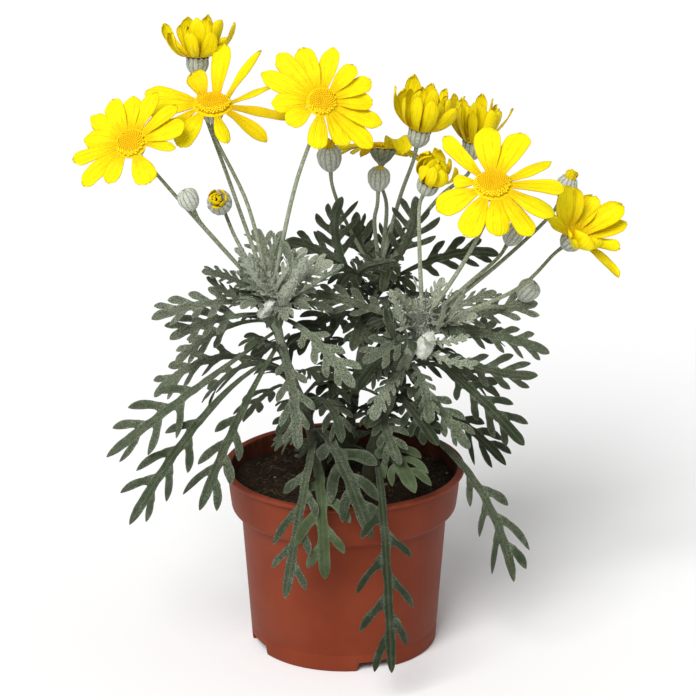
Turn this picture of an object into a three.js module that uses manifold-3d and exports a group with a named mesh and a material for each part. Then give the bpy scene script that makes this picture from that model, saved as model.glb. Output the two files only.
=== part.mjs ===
// A potted gray-leaved euryops: three leafy stems with long-stalked yellow daisies and felted buds,
// growing in peat in a round, thin-walled plant pot. Millimetres, +Z up, the front towards -Y.
import * as THREE from "three";
import { mergeVertices } from "three/addons/utils/BufferGeometryUtils.js";
import Module from "manifold-3d";

const wasm = await Module();
wasm.setup();

// Driving dimensions
const potDiameter = 120;
const potHeight = 92;
const potWall = 1.4;
const soilLevel = 83;
const stemHoleDepth = 24;
const fitGap = 0.3;
const leafThickness = 0.75;
const petalThickness = 0.7;

const finish = (color, roughness) => new THREE.MeshStandardMaterial({ color, roughness, metalness: 0 });
const colours = {
  terracotta: finish(0x9c4526, 0.5),
  peat: finish(0x2a2018, 1),
  feltedLeaf: finish(0x6f7b68, 0.9),
  rayYellow: finish(0xf7e400, 0.6),
  discGold: finish(0xe0ac08, 0.8),
};

const radians = THREE.MathUtils.degToRad;
const mix = THREE.MathUtils.lerp;
const clamp = THREE.MathUtils.clamp;
const vec = (x, y, z) => new THREE.Vector3(x, y, z);
const axisZ = vec(0, 0, 1);

// A closed geometry as a solid, and back again
function solidOf(geometry) {
  const bare = geometry.clone();
  bare.deleteAttribute("normal");
  bare.deleteAttribute("uv");
  const merged = mergeVertices(bare, 1e-4);
  const mesh = new wasm.Mesh({
    numProp: 3,
    vertProperties: new Float32Array(merged.attributes.position.array),
    triVerts: new Uint32Array(merged.index.array),
  });
  return new wasm.Manifold(mesh);
}

function geometryOf(solid) {
  const mesh = solid.getMesh();
  const geometry = new THREE.BufferGeometry();
  geometry.setAttribute("position", new THREE.BufferAttribute(new Float32Array(mesh.vertProperties), 3));
  geometry.setIndex(new THREE.BufferAttribute(new Uint32Array(mesh.triVerts), 1));
  geometry.computeVertexNormals();
  return geometry;
}

// The largest body of a union: what is left of it is scrap
function joined(solids) {
  const whole = solids.reduce((sum, solid) => sum.add(solid));
  return whole.decompose().reduce((best, body) => (body.volume() > best.volume() ? body : best));
}

// A closed profile of [radius, height] turned round Z, with every other edge drawn in by a share
function turned(profile, sides, relief = 0) {
  const outline = profile.map(([radius, height]) => new THREE.Vector2(radius, height));
  const geometry = new THREE.LatheGeometry(outline, sides).rotateX(Math.PI / 2);
  const place = geometry.attributes.position;
  for (let k = 0; k < place.count; k++) {
    const edge = Math.floor(k / profile.length) % sides;
    const share = edge % 2 ? 1 - relief : 1;
    place.setXY(k, place.getX(k) * share, place.getY(k) * share);
  }
  return geometry;
}

// A round bar of even taper, bent along a curve
function bentBar(curve, steps, sides, startRadius, endRadius) {
  const geometry = new THREE.CylinderGeometry(endRadius, startRadius, 1, sides, steps);
  const { normals, binormals } = curve.computeFrenetFrames(steps);
  const place = geometry.attributes.position;
  for (let k = 0; k < place.count; k++) {
    const step = Math.round((place.getY(k) + 0.5) * steps);
    const point = curve
      .getPointAt(step / steps)
      .addScaledVector(normals[step], place.getX(k))
      .addScaledVector(binormals[step], -place.getZ(k));
    place.setXYZ(k, point.x, point.y, point.z);
  }
  return geometry;
}

// A thin plate: the same triangles on both faces of a surface, and a wall round their open edge
function plate(flatPoints, triangles, surface, thickness) {
  const count = flatPoints.length;
  const faces = [1, -1].map((side) =>
    flatPoints.map((place) => {
      const { point, normal } = surface(...place);
      return point.clone().addScaledVector(normal, (side * thickness) / 2);
    }),
  );
  const edges = new Map();
  triangles.forEach(([a, b, c]) => {
    [[a, b], [b, c], [c, a]].forEach(([p, q]) => edges.set(p + "," + q, [p, q]));
  });
  const skin = triangles.flatMap(([a, b, c]) => [[a, b, c], [a + count, c + count, b + count]]);
  edges.forEach(([p, q]) => {
    if (!edges.has(q + "," + p)) skin.push([q, p, p + count], [q, p + count, q + count]);
  });
  const geometry = new THREE.BufferGeometry().setFromPoints(faces.flat());
  geometry.setIndex(skin.flat());
  return geometry;
}

// The pot: a thin shell with a rolled lip, a deep collar, a raised floor and a foot ring with notches
const pot = {
  sides: 28,
  lipDepth: 2,
  lipOverhang: 2.4,
  collarDepth: 22,
  collarTaper: 1.4,
  shoulder: 5,
  footRadius: 46.2,
  footWidth: 2.6,
  footRound: 1.2,
  floorHeight: 6,
  notches: 4,
  notchWidth: 20,
  notchHeight: 4.5,
  firstNotch: -69,
  holes: 4,
  holeRadius: 4,
  holeCircle: 28,
};
const lipRadius = potDiameter / 2;
const collarRadius = lipRadius - pot.lipOverhang;
const collarBase = potHeight - pot.collarDepth;
const bodyTopRadius = collarRadius - pot.collarTaper - pot.shoulder;
const bodySlope = (bodyTopRadius - pot.footRadius) / collarBase;
const bodyRadiusAt = (z) => pot.footRadius + bodySlope * z;
const floorTop = pot.floorHeight + potWall;

function potSolid() {
  const footInner = pot.footRadius - pot.footWidth;
  const collarInner = collarRadius - potWall;
  let shell = solidOf(
    turned(
      [
        [0, pot.floorHeight],
        [footInner, pot.floorHeight],
        [footInner, 0],
        [pot.footRadius - pot.footRound * 0.4, 0],
        [bodyRadiusAt(pot.footRound), pot.footRound],
        [bodyTopRadius, collarBase - 1],
        [bodyTopRadius + pot.shoulder - 0.6, collarBase + 0.6],
        [collarRadius, potHeight - pot.lipDepth - 0.6],
        [lipRadius, potHeight - pot.lipDepth],
        [lipRadius, potHeight - 0.5],
        [lipRadius - 0.6, potHeight],
        [collarInner, potHeight - 0.4],
        [collarInner - pot.collarTaper, collarBase + 1.5],
        [bodyTopRadius - potWall, collarBase - 0.5],
        [bodyRadiusAt(floorTop) - potWall, floorTop],
        [0, floorTop],
      ],
      pot.sides,
    ),
  );
  for (let k = 0; k < pot.notches; k++) {
    const notch = new THREE.BoxGeometry(4 * pot.footWidth, pot.notchWidth, 2 * pot.notchHeight);
    notch.translate(pot.footRadius, 0, 0);
    notch.rotateZ(radians(pot.firstNotch + (360 * k) / pot.notches));
    shell = shell.subtract(solidOf(notch));
  }
  for (let k = 0; k < pot.holes; k++) {
    const hole = new THREE.CylinderGeometry(pot.holeRadius, pot.holeRadius, 4 * potWall, 8);
    hole.rotateX(Math.PI / 2);
    hole.translate(pot.holeCircle, 0, pot.floorHeight + potWall / 2);
    hole.rotateZ(radians((360 * (k + 0.5)) / pot.holes));
    shell = shell.subtract(solidOf(hole));
  }
  return shell;
}

// Stems: the points that each one passes, from inside the peat to its shoot tip
const stemForm = { steps: 7, sides: 6 };
const stems = {
  left: {
    radii: [3.2, 2.1],
    path: [[-12, 0, 60], [-13, -1, 96], [-20, -8, 124], [-27, -15, 148], [-32, -22, 170], [-35, -26, 188]],
  },
  centre: {
    radii: [3, 1.9],
    path: [[2, 18, 60], [2.5, 19, 98], [7, 24, 132], [13, 28, 160], [18, 30, 184]],
  },
  right: {
    radii: [3.4, 2.2],
    path: [[12, -4, 60], [13, -5, 96], [20, -9, 122], [28, -14, 146], [34, -22, 163], [38, -27, 175]],
  },
};
Object.values(stems).forEach((stem) => {
  stem.curve = new THREE.CatmullRomCurve3(stem.path.map((place) => vec(...place)));
});

// The peat: heaped a little in the middle, with a crumbled top, and a plain hole for each stem
const soil = { rings: [43, 24], heap: 2.5, fall: 3.4, crumb: 0.9, holeClearance: 1.5 };

function soilHeight(radius, angle) {
  const out = radius / collarRadius;
  const waves = Math.sin(5 * angle + radius * 0.11) + Math.sin(3 * angle - radius * 0.23);
  const crumbs = 0.7 * Math.cos(9 * angle + radius * 0.5);
  return soilLevel + soil.heap - soil.fall * out * out + soil.crumb * out * (waves + crumbs);
}

function soilSolid() {
  const gap = 1.2 * fitGap;
  const wall = [
    [bodyRadiusAt(floorTop) - potWall - gap, floorTop + gap],
    [bodyTopRadius - potWall - gap, collarBase - 0.5 + gap],
    [collarRadius - potWall - pot.collarTaper - gap, collarBase + 1.5 + 2 * gap],
    [collarRadius - potWall - pot.collarTaper / 2 - gap, soilLevel],
  ];
  const crown = soil.rings.map((radius) => [radius, soilLevel]);
  const geometry = turned([[0, floorTop + gap], ...wall, ...crown, [0, soilLevel]], pot.sides);
  const place = geometry.attributes.position;
  for (let k = 0; k < place.count; k++) {
    if (place.getZ(k) < soilLevel - 1) continue;
    const radius = Math.hypot(place.getX(k), place.getY(k));
    place.setZ(k, soilHeight(radius, Math.atan2(place.getY(k), place.getX(k))));
  }
  let heap = solidOf(geometry);
  Object.values(stems).forEach((stem) => {
    const [x, y] = stem.path[0];
    const radius = stem.radii[0] + soil.holeClearance;
    const hole = new THREE.CylinderGeometry(radius, radius, 2 * stemHoleDepth, 10);
    hole.rotateX(Math.PI / 2);
    hole.translate(x, y, soilLevel);
    heap = heap.subtract(solidOf(hole));
  });
  return heap;
}

// Leaves. "at" is the place on the stem (0 root, 1 shoot tip), "over" the point that the middle of the
// rib passes and "tip" its end. "face" turns the blade about its rib, to show more of its upper side to
// the front. "lobes" counts the fingers of both sides and "lobe" is the longest of them. Most leaves
// have a broad blade with short fingers, and the lax ones low on a stem a narrow blade with long ones
// that are set apart: "bare" is how much of the rib, in steps, lies before the root of a finger.
const leafForm = { petioleHalfWidth: 1.1, fold: 14 };
const blades = {
  broad: {
    petiole: 0.34, halfWidths: [1.6, 3.2],
    bare: 0, lobeBase: 0.8, lobeHalfWidth: 1.8, lobeAngles: [60, 34],
  },
  lax: {
    petiole: 0.42, halfWidths: [1.8, 2.2],
    bare: 0.85, lobeBase: 1.25, lobeHalfWidth: 2.2, lobeAngles: [50, 34],
  },
};

const leaves = {
  left: [
    { at: 0.98, over: [-52, -36, 200], tip: [-67, -45, 207], lobes: 7, lobe: 5, face: 55 },
    { at: 0.94, over: [-62, -38, 189], tip: [-91, -50, 185], lobes: 7, lobe: 7.5, face: 35 },
    { at: 0.9, over: [-60, -36, 180], tip: [-83, -42, 172], lobes: 7, lobe: 7, face: 35 },
    { at: 0.85, over: [-58, -20, 170], tip: [-82, -18, 151], lobes: 7, lobe: 7, face: 40 },
    { at: 0.8, over: [-68, -38, 148], tip: [-114, -50, 115], lobes: 6, lobe: 15, lax: true, face: 40 },
    { at: 0.66, over: [-62, -44, 140], tip: [-103, -60, 84], lobes: 6, lobe: 15, lax: true, face: 40 },
    { at: 0.74, over: [-50, -50, 136], tip: [-69, -64, 93], lobes: 6, lobe: 14, lax: true, face: 55 },
    { at: 0.72, over: [-25, -44, 150], tip: [-22, -52, 120], lobes: 7, lobe: 7, petiole: 0.2 },
    { at: 0.24, over: [-17, -56, 112], tip: [-28, -80, 54], lobes: 6, lobe: 13, lax: true },
    { at: 0.2, over: [-11, -62, 101], tip: [-9, -75, 62], lobes: 5, lobe: 13, lax: true },
    { at: 0.3, over: [-5, -46, 119], tip: [13, -77, 84], lobes: 6, lobe: 14, lax: true, face: 10 },
    { at: 0.88, over: [-16, -45, 175], tip: [5, -60, 154], lobes: 7, lobe: 7, face: 40 },
    { at: 0.99, over: [-34, -28, 206], tip: [-29, -28, 222], lobes: 6, lobe: 6.5, face: -70 },
    { at: 0.99, over: [-27, -34, 203], tip: [-18, -36, 216], lobes: 5, lobe: 6.5, face: -65 },
    { at: 0.97, over: [-42, -34, 200], tip: [-47, -41, 212], lobes: 5, lobe: 4.5, face: -45 },
    { at: 0.98, over: [-44, -25, 203], tip: [-52, -27, 213], lobes: 5, lobe: 4.5, face: 60 },
    { at: 0.95, over: [-20, -24, 197], tip: [-5, -18, 203], lobes: 6, lobe: 6, face: 40 },
    { at: 0.44, over: [-8, -27, 134], tip: [-1, -44, 120], lobes: 7, lobe: 7.5 },
    { at: 0.5, over: [-45, 14, 140], tip: [-72, 34, 112], lobes: 5, lobe: 12, lax: true, face: 40 },
    { at: 0.78, over: [-48, 6, 178], tip: [-62, 34, 170], lobes: 7, lobe: 7.5 },
    { at: 0.36, over: [-30, 28, 124], tip: [-52, 60, 92], lobes: 5, lobe: 13, lax: true },
    { at: 0.58, over: [-62, -6, 150], tip: [-94, 4, 126], lobes: 7, lobe: 8, face: 45 },
    { at: 0.92, over: [-38, -2, 200], tip: [-44, 20, 208], lobes: 6, lobe: 7, face: 10 },
  ],
  centre: [
    { at: 0.8, over: [-3, 20, 199], tip: [-1, 12, 227], lobes: 7, lobe: 9.5, face: -40, petiole: 0.4 },
    { at: 0.96, over: [8, 31, 197], tip: [6, 36, 212], lobes: 5, lobe: 6.5, face: 50 },
    { at: 0.95, over: [12, 44, 188], tip: [9, 54, 200], lobes: 5, lobe: 6.5 },
    { at: 0.98, over: [22, 36, 194], tip: [25, 40, 206], lobes: 5, lobe: 6.5, face: 40 },
    { at: 0.92, over: [31, 18, 202], tip: [35, 6, 229], lobes: 7, lobe: 11, face: -38 },
    { at: 0.9, over: [50, 32, 190], tip: [77, 32, 191], lobes: 7, lobe: 7.5, face: 45 },
    { at: 0.88, over: [8, 8, 190], tip: [25, -6, 200], lobes: 6, lobe: 6.5, face: -50 },
    { at: 0.7, over: [36, 52, 164], tip: [58, 72, 146], lobes: 6, lobe: 8 },
    { at: 0.6, over: [4, 60, 152], tip: [-10, 84, 126], lobes: 6, lobe: 13, lax: true },
    { at: 0.8, over: [18, 60, 182], tip: [22, 84, 172], lobes: 6, lobe: 7.5 },
    { at: 0.5, over: [-22, 50, 142], tip: [-46, 74, 118], lobes: 6, lobe: 13, lax: true },
    { at: 0.4, over: [24, 62, 130], tip: [30, 86, 98], lobes: 6, lobe: 13, lax: true },
    { at: 0.45, over: [42, 46, 132], tip: [66, 58, 108], lobes: 6, lobe: 13, lax: true, face: 45 },
    { at: 0.85, over: [-12, 40, 190], tip: [-30, 54, 190], lobes: 6, lobe: 7, face: 40 },
    { at: 0.75, over: [-9, 8, 166], tip: [-22, -8, 152], lobes: 7, lobe: 7.5, face: 30 },
    { at: 0.62, over: [22, 8, 152], tip: [29, -6, 138], lobes: 7, lobe: 7.5, face: 30 },
    { at: 0.5, over: [-4, 4, 138], tip: [-4, -16, 126], lobes: 7, lobe: 7.5 },
    { at: 0.7, over: [9, 2, 166], tip: [4, -16, 157], lobes: 7, lobe: 7, face: 20 },
    { at: 0.3, over: [-14, 14, 118], tip: [-34, 14, 102], lobes: 5, lobe: 8, face: 45 },
    { at: 0.32, over: [26, 18, 120], tip: [48, 10, 104], lobes: 5, lobe: 8, face: 45 },
    { at: 0.84, over: [5, 10, 188], tip: [-3, -6, 184], lobes: 7, lobe: 7, face: 30 },
    { at: 0.66, over: [18, 12, 170], tip: [13, -8, 160], lobes: 6, lobe: 7, face: 20 },
    { at: 0.9, over: [21, 14, 193], tip: [19, 0, 182], lobes: 6, lobe: 7, face: 20 },
  ],
  right: [
    { at: 0.8, over: [62, -44, 146], tip: [86, -58, 124], lobes: 7, lobe: 8.5, face: 45 },
    { at: 0.9, over: [70, -18, 166], tip: [100, -16, 156], lobes: 7, lobe: 7.5, face: 45 },
    { at: 0.88, over: [66, -37, 156], tip: [93, -40, 153], lobes: 7, lobe: 8, face: 40 },
    { at: 0.94, over: [66, -10, 174], tip: [95, 4, 175], lobes: 7, lobe: 7, face: 45 },
    { at: 0.99, over: [58, -18, 182], tip: [74, -12, 186], lobes: 6, lobe: 6, face: 30 },
    { at: 0.62, over: [46, -40, 136], tip: [60, -50, 119], lobes: 7, lobe: 7, face: 30 },
    { at: 0.5, over: [34, -40, 134], tip: [45, -53, 122], lobes: 7, lobe: 7, face: 30 },
    { at: 0.42, over: [20, -40, 127], tip: [27, -58, 114], lobes: 7, lobe: 7, face: 20 },
    { at: 0.34, over: [24, -44, 115], tip: [34, -64, 102], lobes: 6, lobe: 12, lax: true, face: 10 },
    { at: 0.22, over: [18, -76, 104], tip: [23, -84, 17], lobes: 7, lobe: 16, lax: true },
    { at: 0.4, over: [60, -36, 102], tip: [83, -48, 49], lobes: 6, lobe: 16, lax: true, face: 30 },
    { at: 0.95, over: [22, -40, 168], tip: [9, -50, 163], lobes: 5, lobe: 6.5, face: 40, petiole: 0.25 },
    { at: 0.93, over: [9, -18, 181], tip: [-16, -9, 184], lobes: 7, lobe: 7, face: 40 },
    { at: 1, over: [30, -32, 184], tip: [25, -33, 195], lobes: 5, lobe: 5, face: -60 },
    { at: 1, over: [43, -23, 186], tip: [48, -20, 196], lobes: 5, lobe: 5, face: 50 },
    { at: 0.99, over: [52, -30, 178], tip: [64, -33, 181], lobes: 6, lobe: 6, face: 40 },
    { at: 0.72, over: [19, -30, 158], tip: [7, -44, 147], lobes: 7, lobe: 7, face: 20 },
    { at: 0.6, over: [50, 4, 142], tip: [78, 14, 122], lobes: 6, lobe: 8, face: 45 },
    { at: 0.8, over: [58, 4, 162], tip: [86, 22, 148], lobes: 6, lobe: 7.5, face: 40 },
    { at: 0.4, over: [48, -12, 124], tip: [80, -12, 96], lobes: 6, lobe: 13, lax: true, face: 45 },
  ],
};

// The curved surface of a leaf, by distance along its rib and across it
function leafSurface(leaf, root) {
  const tip = vec(...leaf.tip);
  const pull = vec(...leaf.over).multiplyScalar(2).addScaledVector(root.clone().add(tip), -0.5);
  const rib = new THREE.QuadraticBezierCurve3(root, pull, tip);
  const heading = tip.clone().sub(root).setZ(0).normalize();
  const level = vec(heading.y, -heading.x, 0);
  const face = radians(leaf.face ?? 0) * (heading.x > 0 ? -1 : 1);
  const fold = radians(leafForm.fold);
  const length = rib.getLength();
  const surface = (along, across) => {
    const share = clamp(along / length, 0, 1);
    const forward = rib.getTangentAt(share);
    const up = level.clone().cross(forward).normalize();
    const turn = face * Math.min(1, 2.5 * share);
    const side = level.clone().applyAxisAngle(forward, -turn);
    const normal = up.applyAxisAngle(forward, -turn);
    const point = rib
      .getPointAt(share)
      .addScaledVector(side, across * Math.cos(fold))
      .addScaledVector(normal, Math.abs(across) * Math.sin(fold));
    return { point, normal };
  };
  return { length, surface };
}

// The flat outline of a cut leaf: points from side to side along the rib, a finger between every two
// that are on the same side, and a plain end lobe
function leafPattern(leaf, length) {
  const points = [];
  const triangles = [];
  const add = (along, across) => points.push([along, across]) - 1;
  const blade = leaf.lax ? blades.lax : blades.broad;
  const petiole = leaf.petiole ?? blade.petiole;
  const start = length * petiole;
  const stretch = (length - 0.8 * leaf.lobe - start) / (leaf.lobes + 1);
  const knots = petiole > blades.broad.petiole ? [0, start / 2] : [0];
  const stalk = knots.map((along) => [1, -1].map((side) => add(along, side * leafForm.petioleHalfWidth)));
  const halfWidth = (share) => mix(...blade.halfWidths, Math.sin((Math.PI / 2) * share));
  const rib = Array.from({ length: leaf.lobes + 2 }, (_, k) =>
    add(start + k * stretch, (k % 2 ? -1 : 1) * halfWidth(k / (leaf.lobes + 1))),
  );
  const clockwise = (side, [a, b, c]) => triangles.push(side ? [a, b, c] : [b, a, c]);
  [...stalk.slice(1), [rib[0], rib[1]]].forEach(([c, d], k) => {
    const [a, b] = stalk[k];
    triangles.push([b, c, d], [b, a, c]);
  });
  for (let k = 0; k < leaf.lobes; k++) {
    const side = k % 2;
    const share = k / (leaf.lobes - 1);
    const reach = leaf.lobe * (0.6 + 0.4 * Math.sin(Math.PI * mix(0.15, 0.85, share)));
    const angle = radians(mix(...blade.lobeAngles, share));
    const half = blade.lobeHalfWidth;
    const base = start + (k + blade.lobeBase) * stretch;
    const place = (out, aside) =>
      add(
        base + out * Math.cos(angle) - aside * Math.sin(angle),
        (side ? -1 : 1) * (halfWidth(share) + out * Math.sin(angle) + aside * Math.cos(angle)),
      );
    const lower = place(reach * 0.86, half);
    const upper = place(reach, -0.7 * half);
    let first = rib[k];
    if (blade.bare) {
      first = add(start + (k + blade.bare) * stretch, (side ? -1 : 1) * halfWidth(share));
      clockwise(side, [rib[k], rib[k + 1], first]);
    }
    clockwise(side, [first, rib[k + 1], rib[k + 2]]);
    clockwise(side, [lower, first, upper]);
    clockwise(side, [upper, first, rib[k + 2]]);
  }
  clockwise(leaf.lobes % 2, [rib.at(-2), rib.at(-1), add(length, 0)]);
  return { points, triangles };
}

function leafSolid(leaf, stemCurve) {
  const { length, surface } = leafSurface(leaf, stemCurve.getPoint(leaf.at));
  const { points, triangles } = leafPattern(leaf, length);
  return solidOf(plate(points, triangles, surface, leafThickness));
}

// A ring of rays [clock degrees, reach from the axis, lift], evenly set with a little play
const evenRays = (count, reach, lift, start) =>
  Array.from({ length: count }, (_, k) => [
    start + (360 * k) / count + 4 * Math.sin(5 * k + start),
    reach * (1 + 0.07 * Math.sin(3 * k + start)),
    lift + 2 * Math.sin(4 * k + start),
  ]);

// Flower heads. "head" is the top of the receptacle, or the middle of a bud, and "faces" the way that
// it looks. Its stalk leaves the stem at "from" and passes "via". Clock 0 is the upper or far side.
const heads = {
  bloom_far_left: {
    stem: "left", from: 0.97, via: [-68, -36, 228], head: [-99, -43, 269], faces: [-0.25, -0.74, 0.62],
    disc: 7, rayWidth: 8.3, curl: -14,
    rays: [
      [345, 25, 5], [12, 28, 7], [40, 28, 5], [63, 27, 5], [87, 22, 2], [146, 22, -8], [202, 22, -6],
      [226, 31, -4], [249, 31, -2], [273, 25, 0], [297, 27, 2], [321, 26, 4],
    ],
  },
  bloom_left_high: {
    stem: "left", from: 1, via: [-46, -23, 234], head: [-62, -19, 281], faces: [0, -0.36, 0.93],
    disc: 8.8, rayWidth: 9, curl: -10,
    rays: [
      [10, 34, 46], [48, 37, 42], [78, 34, 24], [101, 38, -4], [126, 34, -10], [165, 26, -12],
      [214, 30, -12], [242, 30, -14], [266, 32, 0], [289, 34, 5], [330, 22, 34],
    ],
  },
  bloom_left_cup: {
    stem: "left", from: 0.99, via: [-55, -6, 240], head: [-70, 8, 298], faces: [0.02, 0.06, 1],
    disc: 4.4, rayWidth: 9, curl: 12, rays: evenRays(10, 24, 54, 8),
  },
  bloom_middle: {
    stem: "left", from: 1, via: [-22, -30, 248], head: [-10, -32, 286], faces: [0.06, -0.8, 0.6],
    disc: 6.8, rayWidth: 8.4, curl: -12,
    rays: [
      [342, 29, 9], [10, 28, 9], [42, 24, 7], [67, 26, 5], [90, 24, 3], [112, 30, 0], [133, 32, -4],
      [155, 24, -6], [190, 23, -8], [238, 20, 2], [270, 24, 5], [296, 32, 6], [319, 32, 8],
    ],
  },
  bloom_middle_back: {
    stem: "centre", from: 1, via: [21, 30, 217], head: [19, 28, 247], faces: [0.1, -0.1, 1],
    disc: 6, rayWidth: 8.5, curl: -14,
    rays: [
      [262, 27, -2], [292, 25, 4], [325, 25, 4], [358, 25, 2], [35, 24, 2], [72, 25, 0], [108, 24, -2],
      [150, 23, -6], [212, 16, -34],
    ],
  },
  bloom_middle_cup: {
    stem: "centre", from: 1, via: [28, 20, 226], head: [37, 12, 261], faces: [0.05, -0.05, 1],
    disc: 5, rayWidth: 8, curl: 16, rays: evenRays(11, 28, 58, 3),
  },
  bloom_opening: {
    stem: "right", from: 1, via: [36, -27, 216], head: [41, -27, 247], faces: [-0.15, -0.35, 0.9],
    disc: 4.4, rayWidth: 7.4, curl: 75, rays: evenRays(8, 16, 48, 6),
  },
  bloom_right_cup: {
    stem: "centre", from: 0.97, via: [48, 37, 220], head: [64, 40, 247], faces: [0.12, 0, 1],
    disc: 4.6, rayWidth: 8, curl: 14, rays: evenRays(10, 26, 58, 9),
  },
  bloom_right_front: {
    stem: "right", from: 1, via: [59, -35, 212], head: [70, -41, 248], faces: [0, -0.55, 0.84],
    disc: 8.6, rayWidth: 12, curl: -12,
    rays: [
      [354, 29, 12], [26, 29, 10], [64, 31, 6], [90, 34, 2], [119, 33, -4], [146, 32, -8], [174, 28, -8],
      [208, 31, -8], [244, 30, -2], [280, 19, 6], [316, 35, 14],
    ],
  },
  bloom_far_right: {
    stem: "right", from: 0.96, via: [84, -24, 192], head: [111, -22, 217], faces: [0.72, -0.42, 0.55],
    disc: 5, rayWidth: 10, curl: -8, rays: evenRays(10, 28, 40, 6),
  },
  bud_left_round: {
    stem: "left", from: 0.96, via: [-61, -38, 221], head: [-73, -42, 242], faces: [-0.4, -0.1, 0.9],
    bud: 10,
  },
  bud_left_open: {
    stem: "left", from: 0.98, via: [-52, -22, 217], head: [-59, -25, 235], faces: [-0.1, -0.86, 0.5],
    bud: 12, tuft: 4,
  },
  bud_middle_open: {
    stem: "centre", from: 0.94, via: [0, 23, 213], head: [-7, 15, 246], faces: [-0.08, -0.1, 1],
    bud: 12, tuft: 5,
  },
  bud_middle_round: {
    stem: "centre", from: 0.99, via: [15, 20, 212], head: [17, 10, 237], faces: [0.05, 0, 1],
    bud: 11, tuft: 1.8,
  },
  bud_right_open: {
    stem: "right", from: 0.98, via: [79, -3, 201], head: [108, 12, 232], faces: [0.4, 0, 0.92],
    bud: 10.5, tuft: 4,
  },
  bud_right_low: {
    stem: "right", from: 1, via: [60, -15, 191], head: [82, -5, 213], faces: [0.5, 0.1, 0.8],
    bud: 10, tuft: 6,
  },
  bud_right_round: {
    stem: "right", from: 0.93, via: [70, -17, 180], head: [90, 0, 183], faces: [0.6, -0.2, 0.75],
    bud: 11,
  },
};

const headForm = {
  stalkRadii: [1.4, 1],
  stalkSides: 5,
  stalkSteps: 5,
  cupRadius: 6.2,
  cupHeight: 8.5,
  cupRim: 5.2,
  cupSides: 8,
  cupRelief: 0.08,
  hubMargin: 0.5,
  rayShare: 0.62,
  raySteps: 12,
  rollFlat: 11,
  rollCupped: 20,
  cuppedLift: 30,
  discSides: 10,
  discRelief: 0.1,
  tuftSides: 8,
  tuftRelief: 0.3,
};

const hubRadius = (head) => head.disc + headForm.hubMargin;

// Sets a head's own axes: X to the right and Y upward in the plane of the flower, Z out of it
function headMatrix(head) {
  const axis = vec(...head.faces).normalize();
  const reference = Math.abs(axis.z) > 0.97 ? vec(0, 1, 0) : vec(0, 0, 1);
  const upward = reference.addScaledVector(axis, -reference.dot(axis)).normalize();
  const matrix = new THREE.Matrix4().makeBasis(upward.clone().cross(axis), upward, axis);
  return matrix.setPosition(...head.head);
}

const cupDepth = (head) => (head.bud ? head.bud * 0.62 : headForm.cupHeight + 1);

function stalkSolid(head, stemCurve) {
  const axis = vec(...head.faces).normalize();
  const top = vec(...head.head).addScaledVector(axis, 0.6 - cupDepth(head));
  const neck = top.clone().addScaledVector(axis, -7);
  const curve = new THREE.CatmullRomCurve3([stemCurve.getPoint(head.from), vec(...head.via), neck, top]);
  return solidOf(bentBar(curve, headForm.stalkSteps, headForm.stalkSides, ...headForm.stalkRadii));
}

// The felted cup that a head sits in. A bud's cup closes over at the top
function cupSolid(head) {
  const size = head.bud;
  const depth = cupDepth(head);
  const neck = headForm.stalkRadii[1];
  const profile = size
    ? [
        [0, -depth],
        [neck, -depth],
        [size * 0.42, -size * 0.32],
        [size * 0.5, size * 0.1],
        [size * 0.36, size * 0.44],
        [0, size * 0.5],
      ]
    : [
        [0, -depth],
        [neck, -depth],
        [4.6, 2 - headForm.cupHeight],
        [headForm.cupRadius, -3],
        [headForm.cupRim, -fitGap],
        [0, -fitGap],
      ];
  return solidOf(turned(profile, headForm.cupSides, headForm.cupRelief).applyMatrix4(headMatrix(head)));
}

// The surface of one ray in its head's axes: it leaves the rim of the hub, which is level, at its lift
// and curls on to its end
function raySurface(head, [clock, reach, lift], along, across) {
  const length = reach - hubRadius(head);
  const slopeAt = (share) => radians(along ? lift + (head.curl * along * share) / length : 0);
  const roll = radians(along ? (lift > headForm.cuppedLift ? headForm.rollCupped : headForm.rollFlat) : 0);
  let out = hubRadius(head);
  let height = petalThickness / 2;
  for (let k = 0; k < headForm.raySteps; k++) {
    const slope = slopeAt((k + 0.5) / headForm.raySteps);
    out += (along / headForm.raySteps) * Math.cos(slope);
    height += (along / headForm.raySteps) * Math.sin(slope);
  }
  const slope = slopeAt(1);
  const normal = vec(0, -Math.sin(slope), Math.cos(slope));
  const point = vec(across * Math.cos(roll), out, height).addScaledVector(normal, across * Math.sin(roll));
  const turn = -radians(clock);
  return { point: point.applyAxisAngle(axisZ, turn), normal: normal.applyAxisAngle(axisZ, turn) };
}

// Its outline as rows [distance along, half width], from the hub to the last row before the end
function rayRows(head, [, reach]) {
  const length = reach - hubRadius(head);
  const root = (headForm.rayShare * Math.PI * hubRadius(head)) / head.rays.length;
  return [
    [0, root],
    [length * 0.54, head.rayWidth / 2],
    [length * 0.9, head.rayWidth * 0.36],
  ];
}

// All rays of a head as one thin body with the round hub that they grow from
function raysSolid(head) {
  const points = [[0, 0]];
  const triangles = [];
  head.rays.forEach((ray, place) => {
    const first = points.length;
    rayRows(head, ray).forEach(([along, half]) => points.push([along, half, ray], [along, -half, ray]));
    const tip = points.push([ray[1] - hubRadius(head), 0, ray]) - 1;
    const next = place + 1 < head.rays.length ? tip + 1 : 1;
    triangles.push([0, first, first + 1], [0, next + 1, first], [tip - 2, tip, tip - 1]);
    for (let k = first; k + 3 < tip; k += 2) triangles.push([k, k + 2, k + 3], [k, k + 3, k + 1]);
  });
  const surface = (along, across, ray) =>
    ray
      ? raySurface(head, ray, along, across)
      : { point: vec(0, 0, petalThickness / 2), normal: axisZ };
  return solidOf(plate(points, triangles, surface, petalThickness).applyMatrix4(headMatrix(head)));
}

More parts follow.
